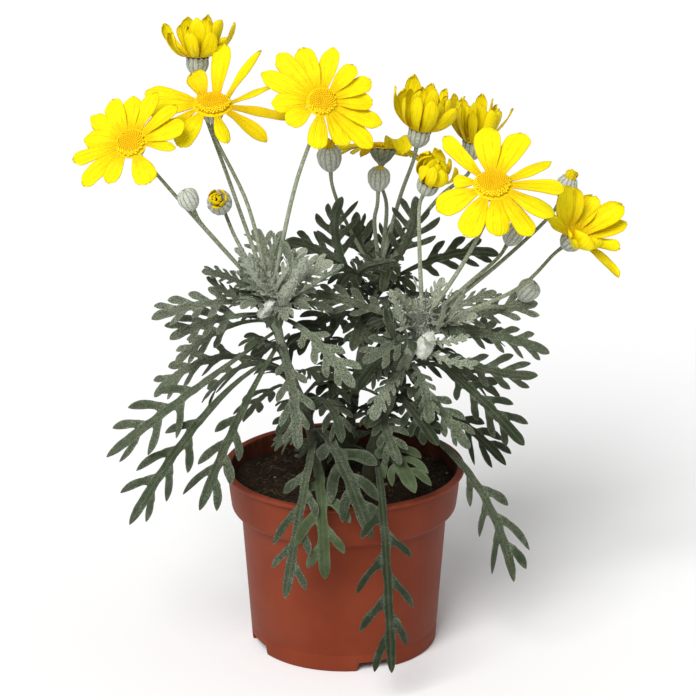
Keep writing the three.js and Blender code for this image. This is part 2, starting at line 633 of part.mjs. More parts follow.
// The disc: a dome of crowded florets as low relief
function discSolid(head) {
  const base = petalThickness + fitGap;
  const r = head.disc;
  const profile = [
    [0, base],
    [3.4, base],
    [r, base + r * 0.16],
    [r * 0.96, base + r * 0.36],
    [r * 0.62, base + r * 0.52],
    [r * 0.26, base + r * 0.5],
    [0, base + r * 0.42],
  ];
  return solidOf(turned(profile, headForm.discSides, headForm.discRelief).applyMatrix4(headMatrix(head)));
}

// The tuft of a breaking bud: a cone of folded rays, notched between them
function tuftSolid(head) {
  const base = head.bud * 0.5 + fitGap;
  const radius = head.bud * 0.34;
  const profile = [
    [0, base],
    [radius * 0.8, base],
    [radius, base + head.tuft * 0.35],
    [radius * 0.7, base + head.tuft * 0.75],
    [0, base + head.tuft],
  ];
  return solidOf(turned(profile, headForm.tuftSides, headForm.tuftRelief).applyMatrix4(headMatrix(head)));
}

// Assembly
const plant = new THREE.Group();

function addMesh(name, solid, material) {
  const mesh = new THREE.Mesh(geometryOf(solid), material);
  mesh.name = name;
  plant.add(mesh);
}

addMesh("pot", potSolid(), colours.terracotta);
addMesh("soil", soilSolid(), colours.peat);

Object.entries(stems).forEach(([name, { curve, radii }]) => {
  const ownHeads = Object.values(heads).filter((head) => head.stem === name);
  const pieces = [
    solidOf(bentBar(curve, stemForm.steps, stemForm.sides, ...radii)),
    ...leaves[name].map((leaf) => leafSolid(leaf, curve)),
    ...ownHeads.flatMap((head) => [stalkSolid(head, curve), cupSolid(head)]),
  ];
  addMesh("leafy_stem_" + name, joined(pieces), colours.feltedLeaf);
});

Object.entries(heads).forEach(([name, head]) => {
  if (head.rays) {
    addMesh(name + "_rays", raysSolid(head), colours.rayYellow);
    addMesh(name + "_disc", discSolid(head), colours.discGold);
  } else if (head.tuft) {
    addMesh(name + "_tuft", tuftSolid(head), colours.rayYellow);
  }
});

// The origin is under the middle of the whole plant, on the surface that the pot stands on
const middle = new THREE.Box3().setFromObject(plant).getCenter(vec(0, 0, 0));
plant.position.set(-middle.x, -middle.y, 0);
const part = new THREE.Group().add(plant);

export default part;
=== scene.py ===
import math
import random

import bmesh
import bpy
import numpy as np
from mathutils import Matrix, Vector
from mathutils import noise as lumps


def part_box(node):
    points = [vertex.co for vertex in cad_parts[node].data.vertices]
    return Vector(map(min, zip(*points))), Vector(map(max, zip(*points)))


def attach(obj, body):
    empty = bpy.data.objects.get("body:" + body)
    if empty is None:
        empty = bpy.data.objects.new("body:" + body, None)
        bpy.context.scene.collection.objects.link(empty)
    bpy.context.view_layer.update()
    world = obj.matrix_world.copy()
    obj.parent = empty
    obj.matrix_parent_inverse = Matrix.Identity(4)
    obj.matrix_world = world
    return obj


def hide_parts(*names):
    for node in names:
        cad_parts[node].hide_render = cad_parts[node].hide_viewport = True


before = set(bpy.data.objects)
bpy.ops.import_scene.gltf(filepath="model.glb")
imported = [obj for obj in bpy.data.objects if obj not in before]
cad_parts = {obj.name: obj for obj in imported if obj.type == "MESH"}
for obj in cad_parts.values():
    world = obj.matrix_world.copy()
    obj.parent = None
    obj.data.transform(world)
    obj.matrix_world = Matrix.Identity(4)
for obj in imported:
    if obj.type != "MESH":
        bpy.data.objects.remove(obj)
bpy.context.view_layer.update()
potLow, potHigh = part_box("pot")
potAxis = np.array([(potLow[0] + potHigh[0]) / 2, (potLow[1] + potHigh[1]) / 2, 0])
print("frame loaded, pot axis", potAxis.round(4))


# Meshes

goldenTurn = math.pi * (3 - math.sqrt(5))


def placed(name, data):
    thing = bpy.data.objects.new(name, data)
    bpy.context.collection.objects.link(thing)
    return thing


class Growth:
    # Gathers the faces of one piece. Each point carries four numbers for its material to read
    def __init__(self):
        self.points, self.paints, self.faces, self.coats = [], [], [], []
        self.count = 0

    def add(self, points, faces, paint, coat=0):
        paint = [np.broadcast_to(np.asarray(part, float), len(points)) for part in paint]
        self.points.append(np.asarray(points, float))
        self.paints.append(np.stack(paint, axis=1))
        self.faces.extend(tuple(k + self.count for k in face) for face in faces)
        self.coats.extend([coat] * len(faces))
        self.count += len(points)

    def mesh(self, name):
        mesh = bpy.data.meshes.new(name)
        mesh.from_pydata((np.concatenate(self.points) / 1000 + potAxis).tolist(), [], self.faces)
        return mesh

    def piece(self, name, materials, slot, *nodes, sharp=50):
        mesh = self.mesh(name)
        layer = mesh.color_attributes.new("paint", "FLOAT_COLOR", "POINT")
        layer.data.foreach_set("color", np.concatenate(self.paints).ravel())
        for material in materials:
            mesh.materials.append(material)
        mesh.polygons.foreach_set("material_index", self.coats)
        mesh.polygons.foreach_set("use_smooth", [True] * len(self.faces))
        mesh.set_sharp_from_angle(angle=math.radians(sharp))
        mesh.update()
        thing = placed(name, mesh)
        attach(thing, "root")
        if nodes:
            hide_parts(*nodes)
        print("piece", name, len(self.faces), "faces")
        return thing


def gridFaces(rows, columns, wrap=False):
    # Quads of a grid whose points run along each row in turn
    corners = [(c, (c + 1) % columns) for c in range(columns if wrap else columns - 1)]
    return [(r + a, r + b, r + b + columns, r + a + columns)
            for r in range(0, (rows - 1) * columns, columns) for a, b in corners]


def barrelFaces(rows, columns):
    # The same wrapped round, with a face on either end
    ends = [tuple(reversed(range(columns))), tuple(range((rows - 1) * columns, rows * columns))]
    return gridFaces(rows, columns, True) + ends


def circle(count):
    return np.arange(count) * 2 * math.pi / count


def ring(radius, turns, height):
    return np.stack([radius * np.cos(turns), radius * np.sin(turns), height + 0 * turns], axis=1)


def around(radius, turn):
    return radius * math.cos(turn), radius * math.sin(turn)


def spun(turn):
    # What turns rows of points about Z
    cos, sin = around(1, turn)
    return np.array([[cos, sin, 0], [-sin, cos, 0], [0, 0, 1]])


def mixed(a, b, share):
    return a + (b - a) * share


def thicken(points, normals, upper, lower, faces):
    # A thin body: the faces on its upper side, the same on its lower side, and a rim
    count = len(points)
    body = np.concatenate([points + normals * upper, points - normals * lower])
    edges = {edge for face in faces for edge in zip(face, face[1:] + face[:1])}
    rim = [(q, p, p + count, q + count) for p, q in edges if (q, p) not in edges]
    under = [tuple(k + count for k in reversed(face)) for face in faces]
    return body, list(faces) + under + sorted(rim)


def unit(vectors):
    vectors = np.asarray(vectors, float)
    return vectors / np.maximum(np.linalg.norm(vectors, axis=-1, keepdims=True), 1e-9)


def turned(vectors, axes, angles):
    # Vectors turned about axes, row by row
    cos, sin = np.cos(angles)[:, None], np.sin(angles)[:, None]
    along = np.sum(vectors * axes, axis=-1, keepdims=True)
    return vectors * cos + np.cross(axes, vectors) * sin + axes * along * (1 - cos)


def runLength(points):
    # How far along a line each of its points lies
    return np.concatenate([[0], np.cumsum(np.linalg.norm(np.diff(points, axis=0), axis=1))])


class StemPath:
    # A centripetal curve through places, as the source of the model has it
    def __init__(self, places):
        self.places = np.array(places, float)

    def at(self, t):
        places = self.places
        last = len(places) - 1
        k = min(int(t * last), last - 1)
        w = t * last - k
        p1, p2 = places[k], places[k + 1]
        p0 = places[k - 1] if k else 2 * p1 - p2
        p3 = places[k + 2] if k + 2 <= last else 2 * p2 - p1
        d0, d1, d2 = (max(np.sum((b - a) ** 2) ** 0.25, 1e-4) for a, b in ((p0, p1), (p1, p2), (p2, p3)))
        t1 = ((p1 - p0) / d0 - (p2 - p0) / (d0 + d1) + (p2 - p1) / d1) * d1
        t2 = ((p2 - p1) / d1 - (p3 - p1) / (d1 + d2) + (p3 - p2) / d2) * d1
        return (p1 + t1 * w + (3 * (p2 - p1) - 2 * t1 - t2) * w ** 2
                + (2 * (p1 - p2) + t1 + t2) * w ** 3)

    def even(self, steps):
        fine = np.array([self.at(t) for t in np.linspace(0, 1, 16 * len(self.places))])
        run = runLength(fine)
        marks = np.linspace(0, run[-1], steps + 1)
        return np.stack([np.interp(marks, run, axis) for axis in fine.T], axis=1)


def tube(points, radii, sides, ridge=0.0, ridges=5):
    # A round bar along points, with faces that close its ends
    points = np.asarray(points, float)
    forward = unit(np.gradient(points, axis=0))
    side = unit(np.cross(forward[0], [0.3, 1, 0.2]))
    angles = circle(sides)
    cos, sin = np.cos(angles)[:, None], np.sin(angles)[:, None]
    swell = 1 + ridge * np.cos(ridges * angles)[:, None]
    rings = []
    for point, ahead, radius in zip(points, forward, np.broadcast_to(radii, len(points))):
        side = unit(side - ahead * np.dot(side, ahead))
        rings.append(point + radius * swell * (cos * side + sin * np.cross(ahead, side)))
    return np.concatenate(rings), barrelFaces(len(points), sides)


# Materials

class Flow:
    # A socket's value, with arithmetic
    def __init__(self, coat, socket):
        self.coat, self.socket = coat, socket

    def maths(self, operation, a, b):
        return self.coat.add("ShaderNodeMath", {"operation": operation}, {0: a, 1: b})

    def __add__(self, other):
        return self.maths("ADD", self, other)

    def __sub__(self, other):
        return self.maths("SUBTRACT", self, other)

    def __rsub__(self, other):
        return self.maths("SUBTRACT", other, self)

    def __mul__(self, other):
        return self.maths("MULTIPLY", self, other)

    def __pow__(self, other):
        return self.maths("POWER", self, other)

    __radd__, __rmul__ = __add__, __mul__

    def above(self, limit):
        return self.maths("GREATER_THAN", self, limit)

    def clipped(self):
        return self.coat.add("ShaderNodeClamp", {}, {0: self})

    def between(self, low, high, smooth=True):
        settings = {"interpolation_type": "SMOOTHSTEP" if smooth else "LINEAR"}
        return self.coat.add("ShaderNodeMapRange", settings, {0: self, 1: low, 2: high})


class Coat:
    # A material and its nodes. The sockets given as fixed are set on the surface shader itself
    def __init__(self, name, fixed):
        self.material = bpy.data.materials.new(name)
        self.material.use_nodes = True
        self.tree = self.material.node_tree
        self.surface = next(n for n in self.tree.nodes if n.type == "BSDF_PRINCIPLED")
        for socket, value in fixed.items():
            self.surface.inputs[socket].default_value = value
        self.grain = self.add("ShaderNodeTexCoord", {}, {}, "Object")

    def add(self, kind, settings, sockets, output=0):
        node = self.tree.nodes.new(kind)
        for key, value in settings.items():
            setattr(node, key, value)
        for key, value in sockets.items():
            self.feed(node.inputs[key], value)
        return Flow(self, node.outputs[output])

    def feed(self, socket, value):
        if isinstance(value, Flow):
            self.tree.links.new(value.socket, socket)
        else:
            socket.default_value = value

    def noise(self, size, detail=2, rough=0.5, at=None):
        # size is the width of a blot in millimetres
        return self.add("ShaderNodeTexNoise", {}, {
            "Vector": at or self.grain, "Scale": 1000 / size, "Detail": detail, "Roughness": rough})

    def mix(self, share, a, b):
        return self.add("ShaderNodeMix", {"data_type": "RGBA"}, {0: share, 6: a, 7: b}, 2)

    def layers(self, color, tone, **shares):
        # Each named tone in its share over the colours below it. The shares are clipped to 0 and 1
        for name, share in shares.items():
            color = self.mix(share, color, tone[name])
        return color

    def paint(self):
        # The four numbers of a point: the red, green and blue of "paint", and its alpha
        color, alpha = (self.add("ShaderNodeAttribute", {"attribute_name": "paint"}, {}, part)
                        for part in ("Color", "Alpha"))
        return [self.add("ShaderNodeSeparateColor", {}, {0: color}, k) for k in range(3)] + [alpha]

    def relief(self, height, distance, strength):
        bump = self.add("ShaderNodeBump", {}, {
            "Height": height, "Distance": distance / 1000, "Strength": strength})
        self.feed(self.surface.inputs["Normal"], bump)

    def finish(self, color, rough):
        self.feed(self.surface.inputs["Base Color"], color)
        self.feed(self.surface.inputs["Roughness"], rough)
        return self.material


def tones(**colors):
    # Colours as a screen shows them, made linear
    def linear(value):
        value /= 255
        return value / 12.92 if value <= 0.04045 else ((value + 0.055) / 1.055) ** 2.4
    return {name: (*map(linear, color), 1.0) for name, color in colors.items()}


leafTone = {
    "felt": -0.02, "mottle": 1.7, "speckle": 0.6, "varied": 0.6, "sheen": 0.03,
    **tones(green=(43, 52, 34), oldGreen=(28, 36, 24), ribGreen=(92, 103, 72), freshGreen=(63, 77, 46),
            feltGray=(137, 147, 121), youngWhite=(186, 193, 175)),
}


def feltCoat(tone):
    # Cut leaves: green under short white felt, with a yellower rib and a paler edge
    coat = Coat("felted_leaf", {
        "Specular IOR Level": 0.12, "Sheen Weight": tone["sheen"], "Sheen Roughness": 0.45})
    young, rib, draw, edge = coat.paint()
    under = draw.above(0.48)
    speckle = coat.noise(tone["speckle"], 3, 0.65).between(0.36, 0.64, False)
    patch = coat.noise(8)
    fresh = 1 - young.between(0.0, 0.03, False)
    level = (tone["felt"] + 1.12 * young + 0.2 * fresh + 0.2 * edge + 0.08 * under
             + 0.6 * (patch - 0.5) + tone["varied"] * (draw - 0.5 * under - 0.22))
    felt = (level * (1.05 + tone["mottle"] * (speckle - 0.5))).clipped()
    green = coat.mix(patch.between(0.35, 0.65), tone["green"], tone["oldGreen"])
    green = coat.layers(green, tone, freshGreen=fresh, ribGreen=rib ** 2 * 0.42)
    wool = coat.mix(young.between(0.2, 1.0, False), tone["feltGray"], tone["youngWhite"])
    coat.relief(speckle + 0.4 * coat.noise(0.5), 0.4, 0.8)
    return coat.finish(coat.mix(felt, green, wool), 0.78 + 0.14 * felt)


# groove is painted shade in the grooves between the bracts of a cup
stalkTone = tones(olive=(84, 92, 52), feltGray=(156, 163, 142), wool=(212, 215, 206), bark=(54, 53, 36),
                  groove=(60, 62, 50))


def stalkCoat(tone):
    # Stalks, cups and stems. Red is youth, green is how woody it is, alpha marks a cup's grooves, painted
    # as shade
    coat = Coat("felted_stalk", {"Specular IOR Level": 0.15, "Sheen Weight": 0.1, "Sheen Roughness": 0.5})
    young, woody, _, groove = coat.paint()
    speckle = coat.noise(0.8, 2, 0.6).between(0.38, 0.62, False)
    patch = coat.noise(6)
    felt = (0.25 + 0.7 * young + 0.7 * (speckle - 0.5) + 0.4 * (patch - 0.5)).clipped()
    color = coat.layers(coat.mix(felt, tone["olive"], tone["feltGray"]), tone,
                        wool=young.between(0.85, 1.0, False) * (0.45 + 0.5 * speckle),
                        bark=woody, groove=groove * 0.75)
    coat.relief(speckle, 0.3, 0.6)
    return coat.finish(color, 0.8 + 0.1 * felt)


# fold is painted shade along the grooves of a ray. golden and orange also serve for painted shade, as below
rayTone = tones(lemon=(239, 226, 3), yellow=(237, 218, 2), golden=(232, 187, 2), orange=(206, 146, 4),
                fold=(168, 124, 4))


def rayCoat(tone):
    # Rays. Red runs from the root to the end, green from the middle to the edge, alpha is orange tint and
    # painted shade
    coat = Coat("ray_yellow", {
        "Specular IOR Level": 0.12, "Subsurface Weight": 0.25,
        "Subsurface Radius": (0.004, 0.003, 0.0006)})
    along, across, draw, warm = coat.paint()
    patch = coat.noise(7)
    lane = coat.add("ShaderNodeCombineXYZ", {}, {0: across * 7, 1: along * 1.6, 2: draw * 30})
    veins = coat.noise(1000, 3, 0.6, lane).between(0.3, 0.7)
    # Painted shade along the grooves of a ray, fading towards its end
    fold = across.between(0.24, 0.36) - across.between(0.36, 0.48)
    fold = fold * (1 - 0.75 * along) * coat.noise(4).between(0.35, 0.6)
    color = coat.mix(patch.between(0.3, 0.7), tone["lemon"], tone["yellow"])
    # Golden towards the root: part the ray's own colour, part painted shade near the disc
    color = coat.layers(color, tone, golden=(1 - along.between(0.0, 0.4)) * 0.6)
    # Golden on the lower side is painted shade. The veins are the ray's own streaks, golden towards the
    # root
    color = coat.layers(color, tone, golden=0.08 * draw.above(0.48) + 0.3 * veins * (1.1 - along),
                        fold=fold * 0.5, orange=warm)
    # A painted orange outline along the edge and the end, standing for shade where rays overlap
    edge = across.between(0.86, 1.0) * 0.5 + along.between(0.97, 1.0) * 0.45
    color = coat.layers(color, tone, orange=edge)
    coat.relief(0.5 * coat.noise(1.2, 3, 0.6) + veins, 0.3, 0.8)
    return coat.finish(color, 0.55 + 0.12 * patch)


# The pit tone is painted shade at the foot of the florets, where they crowd
discTone = tones(gold=(232, 194, 8), amber=(224, 176, 6), pit=(198, 140, 6), bright=(250, 220, 24),
                 brown=(120, 72, 12))


def discCoat(tone):
    # Florets of the disc. Red is how open a floret is, green is height on it, alpha marks brown styles
    coat = Coat("disc_gold", {"Specular IOR Level": 0.12})
    ripe, tip, draw, brown = coat.paint()
    patch = coat.noise(2.5)
    # Each floret is painted darker towards its foot, as shade where the florets crowd
    color = coat.layers(coat.mix(0.5 * draw + 0.5 * patch, tone["gold"], tone["amber"]), tone,
                        pit=(1 - tip) * 0.8, bright=ripe * tip * 0.6, brown=brown)
    coat.relief(coat.noise(0.5), 0.15, 0.5)
    return coat.finish(color, 0.62 + 0.12 * patch)


# inside darkens the inner wall: part peat stain, part painted shade
potTone = tones(body=(114, 47, 25), lighter=(122, 53, 30), scuffed=(144, 76, 52), inside=(52, 28, 18),
                soiled=(40, 27, 18))


def potCoat(tone):
    # Moulded plastic: soft blotches, fine scuffs, a dusty lip, and a dark inside, part peat stain and part
    # painted shade
    coat = Coat("pot_plastic", {"Specular IOR Level": 0.12})
    inside, lip, _, dusty = coat.paint()
    blotch = coat.noise(26, 3)
    drawn = coat.add("ShaderNodeVectorMath", {"operation": "MULTIPLY"}, {0: coat.grain, 1: (1, 1, 0.5)})
    scuff = coat.noise(5, 5, 0.7, drawn)
    soiled = (dusty * coat.noise(2.2, 4, 0.7).between(0.38, 0.62)).clipped()
    color = coat.mix(blotch.between(0.32, 0.7), tone["body"], tone["lighter"])
    # The inner wall is darkened, part peat stain and part painted shade
    color = coat.layers(color, tone, scuffed=scuff.between(0.58, 0.84) * 0.22, inside=inside * 0.85)
    color = coat.layers(color, tone, scuffed=lip * scuff.between(0.4, 0.75) * 0.3, soiled=soiled * 0.8)
    coat.relief(coat.noise(0.8) * 0.4 + blotch * 0.4, 0.2, 0.2)
    return coat.finish(color, 0.46 + 0.14 * scuff + 0.25 * soiled)


peatTone = tones(dark=(20, 14, 7), brown=(46, 33, 18), rust=(70, 45, 27), pale=(150, 128, 92))


def peatCoat(tone):
    coat = Coat("peat", {"Specular IOR Level": 0.2})
    crumbs = coat.noise(1.6, 5, 0.75)
    color = coat.layers(coat.mix(crumbs.between(0.35, 0.7), tone["dark"], tone["brown"]), tone,
                        rust=coat.noise(14, 3, 0.6).between(0.45, 0.75) * 0.4, pale=coat.paint()[0] * 0.8)
    coat.relief(crumbs + 0.5 * coat.noise(0.6, 3, 0.6), 0.9, 0.9)
    return coat.finish(color, 0.9 + 0.08 * crumbs)


leafMaterial = feltCoat(leafTone)
stalkMaterial = stalkCoat(stalkTone)
rayMaterial = rayCoat(rayTone)
discMaterial = discCoat(discTone)
potMaterial = potCoat(potTone)
peatMaterial = peatCoat(peatTone)
print("materials ready")


# The pot

potForm = {
    "lipRadius": 60.0, "height": 92.0, "wall": 1.4, "collarRadius": 57.6, "collarBase": 70.0, "ledge": 1.4,
    "bodyTop": 51.2, "foot": 46.2, "footInner": 43.6, "floor": 6.0, "notchHeight": 4.5, "notches": 4,
    "notchHalf": 12.5, "firstNotch": -69.0, "crease": 8.7,
    "holes": 4, "holeRadius": 4.0, "holeCircle": 28.0,
}


def bodyRadius(z):
    return mixed(potForm["foot"], potForm["bodyTop"], z / potForm["collarBase"])


def roundedProfile(corners):
    # Corners of [radius, height, rounding] as a smooth line
    line = []
    for k, (radius, height, rounding) in enumerate(corners):
        here = np.array([radius, height])
        if rounding == 0 or k in (0, len(corners) - 1):
            line.append(here)
            continue
        back, ahead = (np.array(corners[j][:2], float) - here for j in (k - 1, k + 1))
        a, b = (here + way * min(0.48, rounding / np.linalg.norm(way)) for way in (back, ahead))
        line.extend((1 - t) ** 2 * a + 2 * t * (1 - t) * here + t ** 2 * b for t in np.linspace(0, 1, 5))
    return np.array(line)


def makePot():
    f = potForm
    wall, top, base, crease, floor = (f[key] for key in ("wall", "height", "collarBase", "crease", "floor"))
    lip, collar, body, foot = (f[key] for key in ("lipRadius", "collarRadius", "bodyTop", "foot"))
    line = roundedProfile([
        (0, floor, 0), (f["footInner"], floor, 0.8), (f["footInner"], 0, 0.5), (foot, 0, 1.0),
        (bodyRadius(crease - 0.5), crease - 0.5, 0), (bodyRadius(crease) - 0.2, crease, 0),
        (bodyRadius(crease + 0.5), crease + 0.5, 0), (bodyRadius(36), 36, 0), (body, base - 1, 1.6),
        (body + 4.6, base + 0.7, 2.2), (collar - 0.4, 82, 0), (collar, top - 2.7, 0.7),
        (lip, top - 2.1, 0.8),
        (lip, top, 1.0), (collar - wall, top - 0.2, 0.9), (collar - wall - f["ledge"], base + 1.5, 1.8),
        (body - wall, base - 0.5, 1.6), (bodyRadius(30) - wall, 30, 0),
        (bodyRadius(floor + wall) - wall, floor + wall, 1.2), (0, floor + wall, 0),
    ])
    notches = [f["firstNotch"] + 360 / f["notches"] * k for k in range(f["notches"])]
    fine = {(notch + round(step, 2)) % 360 for notch in notches for step in np.arange(-14, 14.01, 0.7)}
    angles = np.array(sorted(fine | set(np.arange(0, 360, 3.0))))
    angles = angles[np.concatenate([[True], np.diff(angles) > 0.15])]
    away = np.min([np.abs((angles - notch + 180) % 360 - 180) for notch in notches], axis=0)
    raised = f["notchHeight"] * (1 - np.clip((away - f["notchHalf"] + 0.9) / 1.3, 0, 1) ** 2)
    turns = np.radians(angles)
    peak = int(np.argmax(line[:, 1] + line[:, 0] * 0.001))
    rows, looks = [], []
    for k, (radius, height) in enumerate(line[1:-1], 1):  # the line's ends lie on the axis
        rows.append(ring(radius, turns, np.maximum(height, raised if height < f["notchHeight"] else 0)))
        inner = float(k > peak + 2)
        dusty = inner * np.clip((height - 78) / 6, 0, 1) * np.clip((91 - height) / 8, 0, 1) * 1.4
        looks.append((inner, float(height > top - 3), 0, dusty))
    faces = [face[::-1] for face in barrelFaces(len(rows), len(turns))]
    growth = Growth()
    growth.add(np.concatenate(rows), faces, np.repeat(looks, len(turns), axis=0).T)
    pot = growth.piece("pot_shell", [potMaterial], "pot_plastic", "pot", sharp=40)

    holes = Growth()
    for k in range(f["holes"]):
        x, y = around(f["holeCircle"], math.radians(45 + 360 / f["holes"] * k))
        holes.add(*tube([(x, y, 3), (x, y, 5), (x, y, 11)], f["holeRadius"], 28), (0, 0, 0, 0))
    drill = placed("drill", holes.mesh("drill"))
    cut = pot.modifiers.new("holes", "BOOLEAN")
    cut.object = drill
    cut.operation = "DIFFERENCE"
    cut.solver = "EXACT"
    plain = pot.data
    pot.data = bpy.data.meshes.new_from_object(pot.evaluated_get(bpy.context.evaluated_depsgraph_get()))
    pot.modifiers.clear()
    bpy.data.meshes.remove(plain)
    bpy.data.meshes.remove(drill.data)


makePot()


# The peat

soilForm = {
    "level": 83.0, "heap": 2.5, "fall": 3.4, "wave": 0.9, "gap": 0.36, "rings": 64, "segments": 150,
    "crumbs": 700, "fibres": 420, "seed": 11,
}


def soilHeight(radius, angle):
    out = radius / potForm["collarRadius"]
    waves = math.sin(5 * angle + radius * 0.11) + math.sin(3 * angle - radius * 0.23)
    waves += 0.7 * math.cos(9 * angle + radius * 0.5)
    smooth = soilForm["level"] + soilForm["heap"] - soilForm["fall"] * out ** 2
    smooth += soilForm["wave"] * out * waves
    x, y = around(radius, angle)
    rough = lumps.fractal((x * 0.09, y * 0.09, 3.1), 0.7, 2.1, 4) * 1.3
    fine = lumps.noise((x * 0.55, y * 0.55, 7.7)) * 0.7 + lumps.noise((x * 1.3, y * 1.3, 1.7)) * 0.4
    return smooth + rough + fine


def makePeat():
    f = soilForm
    rng = random.Random(f["seed"])
    gap, wall, base = f["gap"], potForm["wall"], potForm["collarBase"]
    low = potForm["floor"] + wall + gap
    edge = potForm["collarRadius"] - wall - 0.6 - gap
    turns = circle(f["segments"])
    skirt = [(20, low), (bodyRadius(low) - wall - gap, low), (potForm["bodyTop"] - wall - gap, base - 0.5),
             (potForm["collarRadius"] - wall - potForm["ledge"] - gap, base + 2.2), (edge - 0.5, 78)]
    rows = [ring(radius, turns, z) for radius, z in skirt]
    for k in range(f["rings"]):
        radius = edge * (1 - k / f["rings"])
        rows.append(ring(radius, turns, [soilHeight(radius, t) for t in turns]))
    bed = Growth()
    bed.add(np.concatenate(rows), barrelFaces(len(rows), len(turns)), (0, 0, 0, 0))
    bed.piece("peat_bed", [peatMaterial], "peat", "soil", sharp=180)

    net = bmesh.new()
    bmesh.ops.create_icosphere(net, subdivisions=2, radius=1)
    net.verts.index_update()
    ballPoints = np.array([v.co[:] for v in net.verts])
    ballFaces = [tuple(v.index for v in face.verts) for face in net.faces]
    net.free()
    loose = Growth()
    for k in range(f["crumbs"]):
        radius = (edge - 2.5) * math.sqrt(rng.random())
        turn = rng.random() * 2 * math.pi
        size = 0.3 + 1.15 * rng.random() ** 2.8
        shift = Vector((rng.random() * 40, rng.random() * 40, rng.random() * 40))
        body = np.array([p * (1 + 0.45 * lumps.noise(Vector(p) * 1.3 + shift)) for p in ballPoints])
        body = body * np.array([1, 0.6 + 0.5 * rng.random(), 0.5 + 0.4 * rng.random()]) * size
        body = body @ spun(rng.random() * math.pi)
        light = 0.9 if rng.random() < 0.05 else 0.15 * rng.random()
        place = [*around(radius, turn), soilHeight(radius, turn) + 0.2 * size]
        loose.add(body + place, ballFaces, (light, rng.random(), 0, 0))
    for k in range(f["fibres"]):
        radius = (edge - 4) * math.sqrt(rng.random())
        x, y = around(radius, rng.random() * 2 * math.pi)
        heading = rng.random() * 2 * math.pi
        bend = rng.uniform(-0.2, 0.2)
        long = rng.uniform(2, 8)
        places = []
        for step in range(7):
            x += math.cos(heading) * long / 6
            y += math.sin(heading) * long / 6
            heading += bend * rng.uniform(0.3, 1.2)
            if math.hypot(x, y) > edge - 1.5:
                break
            lift = 0.4 + 0.5 * rng.random() + (0.8 if step in (2, 3) else 0)
            places.append((x, y, soilHeight(math.hypot(x, y), math.atan2(y, x)) + lift))
        if len(places) > 2:
            body, faces = tube(places, rng.uniform(0.05, 0.11), 4)
            loose.add(body, faces, (rng.choice([0.1, 0.3, 0.6]), rng.random(), 0, 1))
    loose.piece("peat_crumbs", [peatMaterial], "peat", sharp=180)


makePeat()
print("pot and peat done")


# Stems and leaves

stems = {
    "left": {"radii": (3.2, 2.1), "path": [(-12, 0, 60), (-13, -1, 96), (-20, -8, 124), (-27, -15, 148),
                                           (-32, -22, 170), (-35, -26, 188)]},
    "centre": {"radii": (3.0, 1.9), "path": [(2, 18, 60), (2.5, 19, 98), (7, 24, 132), (13, 28, 160),
                                             (18, 30, 184)]},
    "right": {"radii": (3.4, 2.2), "path": [(12, -4, 60), (13, -5, 96), (20, -9, 122), (28, -14, 146),
                                            (34, -22, 163), (38, -27, 175)]},
}

